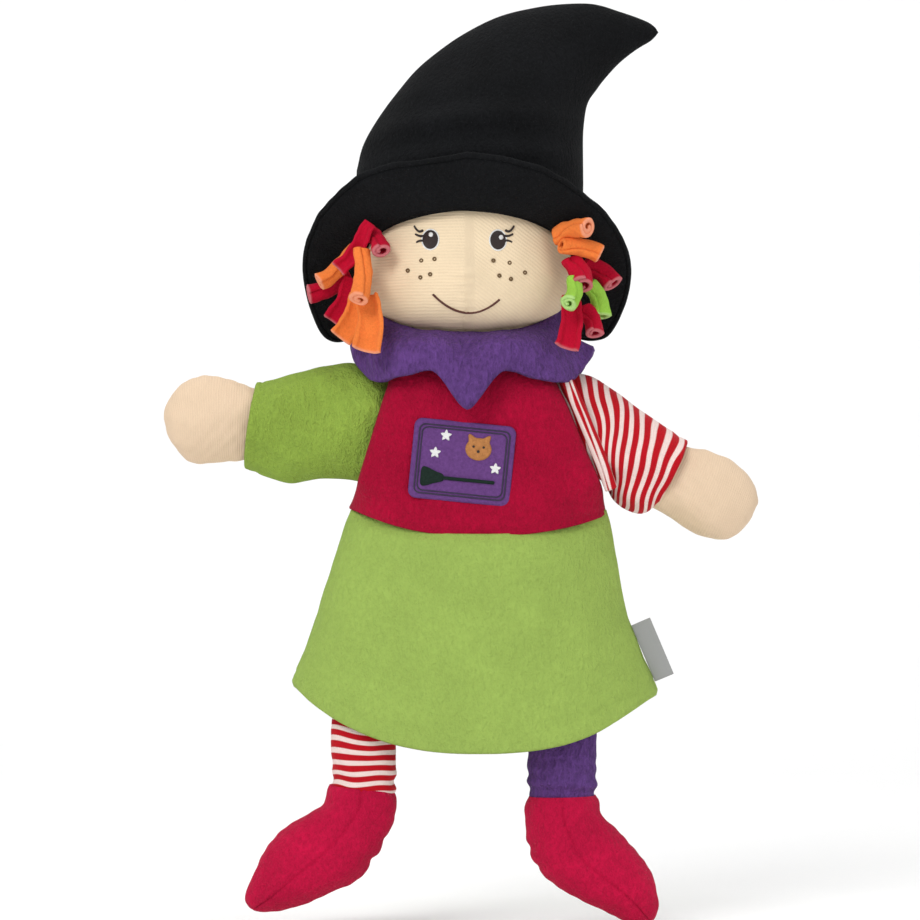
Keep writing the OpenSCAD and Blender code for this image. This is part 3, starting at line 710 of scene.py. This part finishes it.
dress(joined("lashes_thread", lash_parts), eye_thread, ["lashes"], "head")
FRECKLES = [(-19.8, 212.4), (-14.1, 213), (-25.7, 208.2), (-20.2, 205.1), (-16, 206.4),
            (11.3, 212.3), (18.3, 211.4), (25, 207.3), (13.9, 205.8), (18.9, 204.4)]
ring = circle(20)
loops = [on_face(x + 0.62 * np.cos(ring), z + 0.62 * np.sin(ring), 0.2) for x, z in FRECKLES]
knots = [sweep(f"freckle_{i}", path, 0.34, 8, 0.9, loop=True) for i, path in enumerate(loops)]
dress(joined("freckle_knots", knots), freckle_thread, ["freckles"], "head")
s = np.linspace(-1, 1, 60)
mouth = on_face(14.3 * s - 0.4, 189.9 + 6.7 * s**2 - 1.1 * s, 0.15)
dress(sweep("mouth_thread", mouth, 0.5, 8, 0.8), brown_thread, ["mouth_stitch"], "head")

# %% [markdown]
# ## Hat
# The crown is a soft cone whose tip bends over. It is lofted through tilted rings:
# the lowest fits the head, high on the forehead and low at the nape. A few soft
# folds run round it above the band, where the cloth sinks under its own weight.

# %% Hat crown
CROWN = [[-48.8, 254, 51.6, 250, 40, 0], [-45.3, 265.8, 51.6, 262, 38.5, 0], [-34, 283.8, 52.1, 275.9, 34.5, 0],
         [-17.2, 301.8, 53.5, 283.8, 29, 0], [7.5, 318.6, 56.9, 289.4, 23, 0], [29.9, 325.3, 60.3, 293.9, 17, 0],
         [52.4, 327, 67, 300.6, 11.5, 0], [68, 323.4, 74.8, 306.8, 7.6, 0], [79, 319.3, 80.6, 310.4, 4.2, 0],
         [83, 316.5, 83.2, 312.9, 1.6, 0]]
a = circle(220)
band_ring = np.stack([-47.6 * np.cos(a), 40.2 * np.sin(a), 214 - 22 * np.sin(a)], -1)
bulge_ring = np.stack([1 - 49.6 * np.cos(a), 41 * np.sin(a), 233 - 12 * np.sin(a)], -1)
upper = around([[s[2], s[3], s[0], s[1], s[4], s[5]] for s in CROWN], 130, 220)
low = np.linspace(0, 1, 34)[:-1, None, None]
pull = 2 * bulge_ring - (band_ring + upper[0]) / 2
lower = band_ring * (1 - low) ** 2 + 2 * low * (1 - low) * pull + upper[0] * low**2
crown_grid = np.concatenate([lower, upper])
out = facing(crown_grid, True)
zc = crown_grid[..., 2]
phase = 0.8 * np.sin(a)[None] + 0.5 * np.sin(2 * a + 1)[None]
fold = 1.5 * np.sin((zc - 0.10 * crown_grid[..., 0] - 250) * 0.36 + phase)
fold *= bump_at(zc - 268, 18) * np.abs(np.sin(a))[None] ** 1.5
soft = wander(crown_grid, 40, 41, 2) * 0.7 * np.clip((zc - 225) / 20, 0, 1)
soft *= np.clip((326 - zc) / 30, 0.25, 1)
seam = -1.0 * (bump_at(a, 0.035) + bump_at(a - np.pi, 0.035) + bump_at(a - 2 * np.pi, 0.035))[None]
crown_grid = crown_grid + out * (np.clip(fold, -1.2, 1.6) + soft + seam * np.clip((330 - zc) / 40, 0.3, 1))[..., None]
crown = closed("hat_crown_velour", crown_grid, (0, 0, 222), (84.2, 0, 314.4))
dress(crown, black_velour, ["hat_crown_front", "hat_crown_back", "hat_filling"], "head")

# %% [markdown]
# ## Brim
# Two plies of velour sewn at the edge and turned out. The brim is a ruled ring from
# the hat's band to its outer edge, which rises over the face like a halo, dips
# behind the cheeks in two lobes, and is narrow at the nape. The sewn edge shows as
# a groove just inside the rim.

# %% Brim
BRIM_EDGE = [[0, 0, -50, 257], [30, 34, -44, 254], [50, 53, -34, 245], [70, 66, -20, 230], [90, 72, -4, 212],
             [110, 69, 12, 192], [125, 60, 26, 180], [145, 40, 42, 187], [165, 18, 49, 190], [180, 0, 50, 190]]
half_edge = smooth(BRIM_EDGE, 400)


def brim_point(a, v):
    """The brim at angle a from the front and share v from band (0) to edge (1), dished between them."""
    turn = (a + np.pi) % (2 * np.pi) - np.pi
    side, b = np.where(turn < 0, -1.0, 1.0), np.abs(turn)
    edge = np.stack([np.interp(np.degrees(b), half_edge[:, 0], half_edge[:, i]) for i in (1, 2, 3)], -1)
    edge[..., 2] -= np.where(turn > 0, 4.5 * bump_at(np.degrees(b) - 55, 30), 0)
    band = np.stack([46.2 * np.sin(b), -38.6 * np.cos(b), 214 + 22 * np.cos(b)], -1)
    p = band + (edge - band) * v[..., None]
    p[..., 0] *= side
    up = unit(np.stack([0.35 * np.sin(turn), -0.25 * np.cos(b), 1 + 0 * b], -1))
    dish = -3.0 * np.sin(np.pi * v) * bump_at(np.degrees(b), 75)
    ripple = (np.sin(4 * turn + 0.7) * 0.9 + np.sin(7 * turn) * 0.5) * v**2 + wander(p, 30, 51) * 0.6 * v
    return p + up * (dish + ripple)[..., None]


def edge_seam(v, width=0.035):
    return bump_at(v - 0.93, width)


v, a = np.meshgrid(np.r_[np.linspace(0, 0.85, 26), np.linspace(0.865, 1, 16)],
                   circle(420), indexing="ij")
brim_grid = brim_point(a, v)
brim_out = facing(brim_grid, True)
brim_out *= np.sign(brim_out[..., 2:].mean())
thick = 3.0 * np.sqrt(np.clip(1.0 - (np.clip(v - 0.94, 0, 1) / 0.064) ** 2, 0.06, 1)) - 1.7 * edge_seam(v, 0.016)
top, under = brim_grid + brim_out * (thick / 2)[..., None], brim_grid - brim_out * (thick / 2)[..., None]
ring = np.concatenate([top, under[::-1]])
quads, uv = lattice(len(ring), ring.shape[1], True, True, lengths(brim_grid, 1), np.r_[0, lengths(ring, 0)[1:]])
brim = put_mesh("hat_brim_velour", ring.reshape(-1, 3), quads, uv)
dress(brim, black_velour, ["hat_brim_top", "hat_brim_under"], "head")

# %% [markdown]
# ## Hair
# Each lock is a strip of fleece rolled along its length and stitched under the
# brim. The section is a spiral, and it is carried along a short bowed path, so both
# ends show an open roll with paler cut edges.

# %% Rolled strips
def roll_profile(radius, thick, turns, tight, count=46):
    """A strip seen from its end: a spiral out and the same spiral back, one cloth thickness inside.

    A few turns make a roll with a hole in it; under half a turn, with tight near 1, it is a bent flat strip."""
    s = np.linspace(0, 1, count)
    b = 2 * np.pi * turns * s
    r = radius * (tight + (1 - tight) * s**0.8)
    outer = np.stack([r * np.cos(b), r * np.sin(b)], -1)
    inner = outer * (1 - thick / r)[:, None]
    tip = (outer[-1] + inner[-1]) / 2 + np.array([-np.sin(b[-1]), np.cos(b[-1])]) * thick * 0.3
    root = (outer[0] + inner[0]) / 2 + np.array([0, -1]) * thick * 0.3
    profile = np.concatenate([outer, tip[None], inner[::-1], root[None]])
    return profile - (profile.max(0) + profile.min(0)) / 2 * (turns < 1)


def spin(profile, turn):
    """The profile's x and y once it is turned about its middle by each row's angle."""
    x, y, c, s = profile[None, :, 0], profile[None, :, 1], np.cos(turn), np.sin(turn)
    return x * c - y * s, x * s + y * c


def capped(grid, start, end):
    """The strip's rows with a shrunken row past each end, and the faces that close its section there."""
    count = grid.shape[1]
    mate = np.r_[np.arange(count)[::-1][1:], count - 1]
    caps = grid[[0, -1]] * 0.6 + grid[[0, -1]][:, mate] * 0.4 + np.array([start, end])[:, None] * 0.4
    body = np.concatenate([caps[:1], grid, caps[1:]])
    k = np.arange(count // 2 - 1)
    lids = [np.stack([base + k, base + k + 1, base + mate[k + 1], base + mate[k]], 1)
            for base in (0, (len(body) - 1) * count)]
    return body, np.concatenate(lids)


def lock(name, start, end, width, look, cloth, node, seed):
    """One strip carried from start to end: swollen in the middle, flared and turned to the front at its end."""
    turns, tight, twist, nod, squash = look
    start, end = np.array(start, float), np.array(end, float)
    way = unit(end - start)
    side = unit(np.cross(way, [0, 1.0, 0]))
    s = np.linspace(-0.06, 1, 44)[:, None]
    path = start + (end - start) * s + side * 1.5 * np.sin(np.pi * np.clip(s, 0, 1))
    path = path + np.array([0, -1.0, 0]) * nod * s**2
    along = unit(np.gradient(path, axis=0))
    side = unit(np.cross(along, [0, 1.0, 0]))
    up = np.cross(side, along)
    profile = roll_profile(width / 2, min(1.9, width * 0.2), turns, tight)
    swell = (0.92 + 0.05 * np.sin(np.pi * s) + 0.16 * np.clip(s, 0, 1) ** 4)[:, :, None]
    px, py = spin(profile, twist + 0.5 * s)
    grid = path[:, None] + swell * (side[:, None] * px[..., None] + up[:, None] * squash * py[..., None])
    grid += (side[:, None] + 0.5 * up[:, None]) * wander(grid, 9, 60 + seed, 2)[..., None] * 0.45
    body, lids = capped(grid, -along[0], along[-1])
    body[0] += along[0] * 0.01
    quads, uv = lattice(*body.shape[:2], False, True, lengths(body, 1), lengths(body, 0))
    uv = np.concatenate([uv, np.zeros((lids.size, 2))])
    piece = put_mesh(name, body.reshape(-1, 3), np.concatenate([quads, lids]), uv)
    past = points_of(piece.data) * 1000 - path[-1]
    cut = np.clip(1 + (past @ along[-1] - 0.2) / 0.9, 0, 1) * (np.linalg.norm(past, axis=1) < width)
    piece.data.attributes.new("cut", "FLOAT", "POINT").data.foreach_set("value", cut.astype(np.float32))
    return dress(piece, cloth, [node], "head")


RED, ORANGE = (red_fleece, "fleece_red"), (orange_fleece, "fleece_orange")
GREEN = (green_fleece, "fleece_green")
ROLL, WIDE, FLAT = (1.55, 0.42, 0.9, 5, 0.95), (1.25, 0.55, 2.4, 4, 0.9), (0.42, 0.92, -0.25, 0, 0.75)
LOCKS = {
    "a": ((-44, -27, 226.4), (-36.6, -34, 216.6), 8.4, WIDE, RED),
    "b": ((-43, -35, 227.4), (-55.6, -31, 209), 8, FLAT, RED),
    "c": ((-49.6, -24, 217), (-64, -18, 203.4), 8.6, ROLL, ORANGE),
    "d": ((-53, -14, 206.4), (-69, -9, 198.4), 9, WIDE, RED),
    "e": ((-51, -22, 204), (-58.8, -18, 186.8), 9.4, FLAT, RED),
    "f": ((-45.2, -33, 216), (-46.4, -38, 195.4), 9.4, ROLL, ORANGE),
    "g": ((-47.6, -27, 196.5), (-55, -28, 179.4), 10.5, FLAT, ORANGE),
    "h": ((-43.2, -33, 196.5), (-44, -39, 173.8), 13, FLAT, ORANGE),
    "i": ((38.6, -29, 223.4), (52, -33, 227), 9.4, ROLL, ORANGE),
    "j": ((41.8, -33, 219), (57.6, -24, 215.8), 9, WIDE, ORANGE),
    "k": ((45.4, -28, 213), (50, -30, 201.8), 11, ROLL, RED),
    "l": ((52.4, -14, 212), (64, -12, 203.4), 10.5, WIDE, RED),
    "m": ((46.6, -34, 204), (43.8, -38, 193.6), 8.6, ROLL, GREEN),
    "n": ((53.6, -20, 203), (58.6, -17, 189), 9.4, WIDE, GREEN),
    "o": ((44.8, -31, 196), (42.4, -37, 175), 11, FLAT, RED),
    "p": ((51, -23, 192.5), (55.4, -24, 181.2), 9, WIDE, RED)}
for i, (letter, (start, end, width, look, (cloth, slot))) in enumerate(LOCKS.items()):
    lock(f"lock_{letter}", start, end, width, look, cloth, f"hair_{letter}", i)
print(len(LOCKS), "locks")

# %% [markdown]
# ## Arms
# A sleeve is a tube sewn into the armhole, so its root must stay on the bodice
# while the rest follows the arm. The hand is a knitted mitten tucked into the cuff.

# %% Sleeves
SLEEVE_R = [[-34.5, 163.4, -40, 118, 15.6, 0], [-42, 167.2, -46, 117.2, 17, 0], [-51.6, 169, -52, 117.8, 17.2, 0],
            [-62, 167.4, -62, 118, 17.4, 0], [-72, 165.2, -71.3, 116.8, 17.2, 0], [-83, 162.6, -81, 116.6, 17, 0],
            [-92.5, 160.3, -97.6, 123, 16.6, 0]]
SLEEVE_L = [[39, 161.2, 52, 118, 15.6, 0], [46, 163.8, 58, 117, 17, 0], [55, 162.6, 61.5, 114, 17.4, 0],
            [66, 155.6, 64.4, 109, 17.4, 0], [76, 148.8, 69.2, 105, 17, 0], [86, 142, 76.6, 103, 16.8, 0],
            [96.8, 134.6, 83.6, 106.2, 15.8, 0]]


def sleeve(name, table, side, seed, cloth):
    """A tube through the sleeve's sections, with folds that gather where it leaves the armhole."""
    grid = around(table, 90, 150)
    out = facing(grid, True)
    along = np.linspace(0, 1, 90)[:, None]
    a = circle(150)[None]
    folds = 1.5 * np.sin(a * 3 + along * 5 + seed) * bump_at(along - 0.25, 0.3)
    cuff = 0.3 * bump_at(along - 1, 0.06) - 0.4 * bump_at(along - 0.92, 0.02)
    soft = wander(grid, 24, seed, 2) * 1.5
    grid = grid + out * ((folds + soft) * (0.25 + 0.75 * np.abs(np.sin(a)) ** 1.5) + cuff)[..., None]
    piece = dress(tube(name, grid, 1.7), cloth, [f"sleeve_{side}"])
    return piece


sleeve_right = sleeve("sleeve_right_cloth", SLEEVE_R, "right", 71, sleeve_velour)
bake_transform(sleeve_right)
sleeve_left = sleeve("sleeve_left_cloth", SLEEVE_L, "left", 73, stripes)
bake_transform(sleeve_left)

# %% The striped sleeve's fold
# Spare cloth at the armhole lies over itself as a soft roll, from the shoulder to the underarm.
profile = roll_profile(3.3, 1.2, 1.3, 0.55)
s = np.linspace(0, 1, 60)[:, None]
path = np.array([43.4, -18.6, 160.5]) * (1 - s) + np.array([62.6, -17.6, 113.6]) * s
path = path + np.array([0.4, -1.0, 0.2]) * 1.2 * np.sin(np.pi * s)
way = unit(path[-1] - path[0])
side = unit(np.cross([0, 1.0, 0], way))
swell = 0.9 + 0.12 * np.sin(np.pi * s) + 0.1 * s**3
px, py = spin(profile, 2.2 + 0.8 * s)
roll = path[:, None] + swell[..., None] * (side * px[..., None] + np.array([0, 0.8, 0]) * py[..., None])
body, lids = capped(roll, -way, way)
quads, uv = lattice(*body.shape[:2], False, True, lengths(roll, 1), lengths(body, 0))
uv = np.concatenate([uv[:, ::-1], np.zeros((lids.size, 2))])
fold = put_mesh("sleeve_left_fold", body.reshape(-1, 3), np.concatenate([quads, lids]), uv)
dress(fold, stripes, (), "body")

# %% Hands
HAND_R = [[-80, 152, -80, 131, 8, 0], [-88, 156, -88, 128, 11.5, 0], [-97, 159.5, -98, 126.6, 13, 0],
          [-105.4, 161.6, -105.4, 126.2, 13.6, 0], [-116.7, 163, -114.5, 124.8, 13.4, 0],
          [-124.3, 160.6, -121.5, 125.4, 12, 0], [-130.2, 153.8, -127.3, 129.8, 9.5, 0],
          [-132.8, 147.5, -131.4, 136.8, 5.5, 0], [-133.3, 145, -132.8, 142, 2, 0]]
HAND_L = [[85, 134, 75, 114, 8, 0], [91.4, 133.2, 78.2, 108, 11, 0], [99.4, 131.8, 86.2, 103, 12.6, 0],
          [106, 130.7, 93, 98.2, 13.4, 0], [115, 126.6, 101.5, 93.6, 13.2, 0], [121.7, 121.3, 110.3, 91, 11.8, 0],
          [126.2, 115.2, 117.5, 93.4, 9, 0], [127.5, 110, 123.4, 98.8, 5.5, 0], [127.6, 107.4, 126, 103.4, 2, 0]]


def hand(name, table, side, seed):
    """A mitten: rings to a rounded tip, lightly lumpy, with a seam running along its front edge."""
    grid = around(table, 80, 130)
    out = facing(grid, True)
    a = circle(130)[None]
    seam = -0.5 * (bump_at(a, 0.05) + bump_at(a - np.pi, 0.05) + bump_at(a - 2 * np.pi, 0.05))
    grid = grid + out * (wander(grid, 20, seed) * 0.6 + seam)[..., None]
    piece = closed(name, grid)
    dress(piece, hand_knit, [f"hand_{side}"], f"hand_{side}")
    return piece


hand("hand_right_knit", HAND_R, "right", 81)
hand("hand_left_knit", HAND_L, "left", 83)

# %% [markdown]
# ## Legs and shoes
# The legs are slim stuffed tubes whose flat top edge is sewn to the hem. Their lower
# ends are sewn into padded velour shoes.

# %% Legs
def leg(name, x, half, side, cloth, seed):
    """A tube with a pinched top, soft lumps and slight creases where it meets the shoe."""
    shape = [[24, 0.93, 2.2], [18, 0.98, 5], [10, 1.0, 9.6], [0, 1.0, 11.2], [-10, 1.0, 11.4],
             [-18, 0.97, 11], [-27, 0.86, 9]]
    grid = around([[x - w * half, z, x + w * half, z, d, -14] for z, w, d in shape], 90, 110)
    out = facing(grid, True)
    z = grid[..., 2]
    crease = 0.6 * np.sin(z * 0.9 + 0.05 * grid[..., 0]) * bump_at(z + 16, 8)
    grid = grid + out * (wander(grid, 18, seed) * 0.5 + crease)[..., None]
    piece = dress(closed(name, grid), cloth, [f"leg_{side}", f"leg_{side}_filling"])
    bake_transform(piece)
    return piece


leg("leg_right_knit", -45, 14, "right", stripes, 91)
leg("leg_left_plush", 41.5, 15, "left", purple_plush, 93)

# %% Shoes
SHOE_R = [[-61, -15.2, -30.8, -18.4, 13.6, -14], [-62.7, -23.5, -31.6, -27, 14, -14],
          [-69, -27.4, -34.5, -38, 14.4, -14.5],
          [-76, -31.8, -39.5, -48, 15, -15], [-83, -38, -48, -56.2, 15.4, -15.5], [-89.5, -45.8, -59, -62.2, 15, -16],
          [-93.9, -55.2, -71, -67, 13, -16.5], [-96.2, -61.5, -80, -69.9, 10, -17], [-96.6, -65.5, -87, -71, 6, -17],
          [-95.2, -68, -91.5, -70.2, 2.4, -17]]
SHOE_L = [[25.4, -20.6, 56.8, -20, 13.6, -14], [25.6, -31, 58.2, -28, 14, -14], [27, -43, 63.2, -33.4, 14.4, -14.5],
          [30, -52, 69.2, -40, 15, -15], [38.5, -59.6, 75.9, -46.6, 15.4, -15.5], [50, -65.8, 80, -52.8, 15, -16],
          [62, -71.2, 82.6, -60, 13, -16.5], [70, -74.8, 83.4, -67, 10, -17], [75.5, -75.6, 82.4, -71, 6, -17],
          [79, -74.8, 81.4, -73.4, 2.4, -17]]


def shoe(name, table, side, seed):
    """A padded shoe: rings from the ankle round the heel to the toe, creased over the instep, seamed in front."""
    grid = around(table, 110, 140, 2.1)
    out = facing(grid, True)
    along = np.linspace(0, 1, 110)[:, None]
    a = circle(140)[None]
    upper = bump_at(a - np.pi, 1.0) if table[0][0] > 0 else bump_at(np.minimum(a, 2 * np.pi - a), 1.0)
    instep = -1.6 * bump_at(along - 0.36, 0.03) * upper - 1.0 * bump_at(along - 0.24, 0.025) * upper
    seam = -0.9 * bump_at(a - 1.5 * np.pi, 0.03)
    mouth = -1.2 * bump_at(along, 0.03)
    grid = grid + out * (instep + seam + mouth + wander(grid, 24, seed) * 0.7)[..., None]
    piece = closed(name, grid)
    dress(piece, rose_velour, [f"shoe_{side}", f"shoe_{side}_filling"], f"shoe_{side}")
    return piece


shoe("shoe_right_velour", SHOE_R, "right", 101)
shoe("shoe_left_velour", SHOE_L, "left", 103)

# %% [markdown]
# ## Patch and tag
# The patch is a rectangle of purple felt with rounded corners, edged with two rows
# of dark stitching. On it sit a plain cat's head, a broom and three stars, cut from
# felt or stitched. A small blank woven tag is caught in the side seam.

# %% Patch
PATCH_WIDE, PATCH_HIGH = 44.3, 34.9
PATCH_AT = np.array([-2.2, -28.4, 125.4])
TURN = np.array(Matrix.Rotation(math.radians(5.7), 3, "Y"))


def on_patch(x, z, lift):
    """A point of the patch's own plane, x across and z up from its middle, lifted towards the viewer."""
    flat = np.stack(np.broadcast_arrays(np.asarray(x, float), -np.asarray(lift, float), np.asarray(z, float)), -1)
    return flat @ TURN.T + PATCH_AT


def cut_shape(name, outline, middle, low, high):
    """A felt shape: its outline shrunk towards a middle point, ring by ring, domed and rounded at the edge."""
    outline, middle = np.array(outline, float), np.array(middle, float)
    v = np.r_[np.linspace(0.05, 0.9, 8), 0.95, 0.985, 1.0][:, None, None]
    flat = middle + (outline[None] - middle) * v
    lift = low + (high - low) * np.sqrt(np.clip(1 - ((v - 0.8) / 0.2).clip(0, 1) ** 2, 0, 1)) + 0 * flat[..., :1]
    top = on_patch(flat[..., 0], flat[..., 1], lift[..., 0])
    under = on_patch(flat[..., 0], flat[..., 1], low - 0.3)[::-1][1:]
    return closed(name, np.concatenate([top, under]))


def smooth_loop(points, count=120):
    """A closed outline through a few points, rounded."""
    p = np.array(points, float)
    return smooth(np.concatenate([p[-2:], p, p[:2]]), count + 60)[30:-30]


def rounded(w, h, r, count=40):
    """A rectangle with round corners, as points in order."""
    b = np.linspace(0, np.pi / 2, count // 4)
    parts = [np.stack([sx * (w / 2 - r) + r * np.cos(b + q), sz * (h / 2 - r) + r * np.sin(b + q)], -1)
             for q, sx, sz in ((0, 1, 1), (np.pi / 2, -1, 1), (np.pi, -1, -1), (1.5 * np.pi, 1, -1))]
    loop = np.concatenate(parts)
    run = np.r_[0, np.cumsum(np.linalg.norm(np.diff(np.r_[loop, loop[:1]], axis=0), axis=1))]
    at = np.linspace(0, run[-1], 240, endpoint=False)
    closed_loop = np.r_[loop, loop[:1]]
    return np.stack([np.interp(at, run, closed_loop[:, i]) for i in (0, 1)], -1)


patch = cut_shape("patch_felt", rounded(PATCH_WIDE, PATCH_HIGH, 3.5), (0, 0), 0.0, 1.3)
dress(patch, purple_felt, ["patch_base"], "body")
lines = []
for inset in (2.5, 3.7):
    loop = rounded(PATCH_WIDE - 2 * inset, PATCH_HIGH - 2 * inset, 2.6)
    lines.append(sweep(f"line_{inset}", on_patch(loop[:, 0], loop[:, 1], 1.25), 0.36, 8, 0.9, loop=True))
dress(joined("patch_stitching", lines), dark_thread, ["patch_frame"], "body")

b = circle(160)
ears = 2.6 * (bump_at(b - 0.98, 0.2) + bump_at(b - 2.16, 0.2))
face = np.stack([6.5 + (5.7 + ears) * np.cos(b), 6.2 + (4.9 + ears) * np.sin(b)], -1)
dress(cut_shape("patch_cat_felt", face, (6.5, 6), 1.2, 2.2), tan_felt, ["patch_cat"], "body")
for tag, x, z, size in (("eye_a", 4.3, 7.2, 0.55), ("eye_b", 8.7, 7.2, 0.55), ("nose", 6.5, 5.2, 0.65)):
    dot = np.stack([x + size * np.cos(b[::4]), z + size * np.sin(b[::4])], -1)
    dress(cut_shape(f"patch_cat_{tag}", dot, (x, z), 2.1, 2.5), eye_thread, (), "body")

brush = [[-7.5, -8.9], [-7.5, -6.3], [-11, -5], [-16.5, -3.4], [-17.4, -7.6], [-16.5, -11.8], [-11, -10.2]]
broom = cut_shape("broom_brush", smooth_loop(brush), (-12, -7.6), 1.2, 2.1)
stick = sweep("broom_stick", on_patch(np.linspace(-7.8, 14.5, 24), np.linspace(-7.6, -7.6, 24), 1.7), 0.75, 10, 0.8)
dress(joined("patch_broom_felt", [broom, stick]), bottle_felt, ["patch_broom"], "body")

star_parts = []
for i, (x, z) in enumerate([(-8, 10.8), (-12, 3), (14.6, -1.5)]):
    spoke = circle(60)
    radius = 1.35 + 1.25 * np.abs(((spoke * 5 / (2 * np.pi)) % 1) * 2 - 1) ** 1.2
    outline = np.stack([x + radius * np.sin(spoke), z + radius * np.cos(spoke)], -1)
    star_parts.append(cut_shape(f"star_{i}", outline, (x, z), 1.2, 1.95))
dress(joined("patch_star_stitches", star_parts), white_thread, ["patch_stars"], "body")

# %% Side tag
along = unit(np.array([0.389, 0, -0.921]))
out_way = np.array([0.921, 0, 0.389])
turn = np.linspace(-np.pi / 2, np.pi / 2, 12)
bend = np.stack([8.3 + 0.6 * np.cos(turn), 0.6 * np.sin(turn)], -1)
fold_path = np.concatenate([[[0, -0.3], [3, -0.55], [6, -0.6]], bend, [[6, 0.6], [3, 0.55], [0, 0.3]]])
fold_path = smooth(fold_path, 50)
s, k = crossed(np.linspace(0, 26.5, 44), np.arange(50))
w, y = fold_path[k, 0], fold_path[k, 1]
tag_grid = np.array([72.4, 0, 53.4]) + along * s[..., None] + out_way * w[..., None]
tag_grid[..., 1] += y + 0.9 * np.sin(w / 9 * 2.2) * np.cos(s / 26.5 * 2.5)
side_tag = dress(panel("side_tag_ribbon", tag_grid, 0.35), grey_ribbon, ["side_label"], "side_label")

# %% [markdown]
# ## Setting
# A pale floor that curves up into a pale wall, which only its front side shows, so
# that the puppet can be seen from behind too. Large soft lights stand above and on
# both sides, and a long lens is level with the puppet's middle.

# %% Floor, lights and camera
FLOOR_Z = -0.0795
y = np.r_[np.linspace(-1.6, 0.9, 24), 0.9 + 0.5 * np.sin(np.linspace(0.05, np.pi / 2, 16)), np.full(8, 1.4)]
z = np.r_[np.zeros(24), 0.5 - 0.5 * np.cos(np.linspace(0.05, np.pi / 2, 16)), np.linspace(0.6, 2.6, 8)]
x = np.linspace(-2.5, 2.5, 12)
sweep_grid = np.stack(np.broadcast_arrays(x[None], y[:, None], z[:, None] + FLOOR_Z), -1) * 1000
quads, uv = lattice(len(y), len(x), False, False, np.arange(len(x) + 1.0), np.arange(len(y) + 1.0))
floor = put_mesh("paper_sweep", sweep_grid.reshape(-1, 3), quads, uv)
if floor.data.polygons[0].normal.z < 0:
    floor.data.flip_normals()
paper, t, s = blank("paper")
grain = noise(t, place(t), 400, 2)
t.links.new(blend_colour(t, grain, (0.96, 0.96, 0.96, 1), (0.99, 0.99, 0.99, 1)), s.inputs["Base Color"])
s.inputs["Roughness"].default_value = 0.9
one_sided = t.nodes.new("ShaderNodeMixShader")
t.links.new(t.nodes.new("ShaderNodeNewGeometry").outputs["Backfacing"], one_sided.inputs[0])
t.links.new(s.outputs[0], one_sided.inputs[1])
t.links.new(t.nodes.new("ShaderNodeBsdfTransparent").outputs[0], one_sided.inputs[2])
output = next(n for n in t.nodes if n.bl_idname == "ShaderNodeOutputMaterial")
t.links.new(one_sided.outputs[0], output.inputs["Surface"])
floor.data.materials.append(paper)


def softbox(name, at, size, power):
    """A square lamp aimed at the puppet's middle."""
    lamp = bpy.data.lights.new(name, "AREA")
    lamp.size, lamp.energy = size, power
    holder = bpy.data.objects.new(name, lamp)
    bpy.context.collection.objects.link(holder)
    holder.location = at
    holder.rotation_euler = (Vector((0, 0, 0.12)) - Vector(at)).to_track_quat("-Z", "Y").to_euler()


softbox("key", (-0.8, -1.4, 1.3), 0.8, 17)
softbox("fill", (1.3, -1.3, 0.6), 1.2, 5)
softbox("top", (0.0, 0.1, 1.7), 1.2, 8)
world = bpy.data.worlds.new("studio")
world.use_nodes = True
world.node_tree.nodes["Background"].inputs[0].default_value = (1, 1, 1, 1)
world.node_tree.nodes["Background"].inputs[1].default_value = 0.62
bpy.context.scene.world = world

lens = bpy.data.cameras.new("lens")
lens.sensor_width = 36
AWAY, SEEN = 1.9, 0.4048  # metres to the puppet, and the width in view there
lens.lens = 36 * AWAY / SEEN
lens.clip_end = 30
viewer = bpy.data.objects.new("viewer", lens)
bpy.context.collection.objects.link(viewer)
viewer.location = (-0.0031, -AWAY, 0.1263)
viewer.rotation_euler = (math.pi / 2, 0, 0)
bpy.context.scene.camera = viewer
bpy.context.scene.view_settings.view_transform = "Standard"
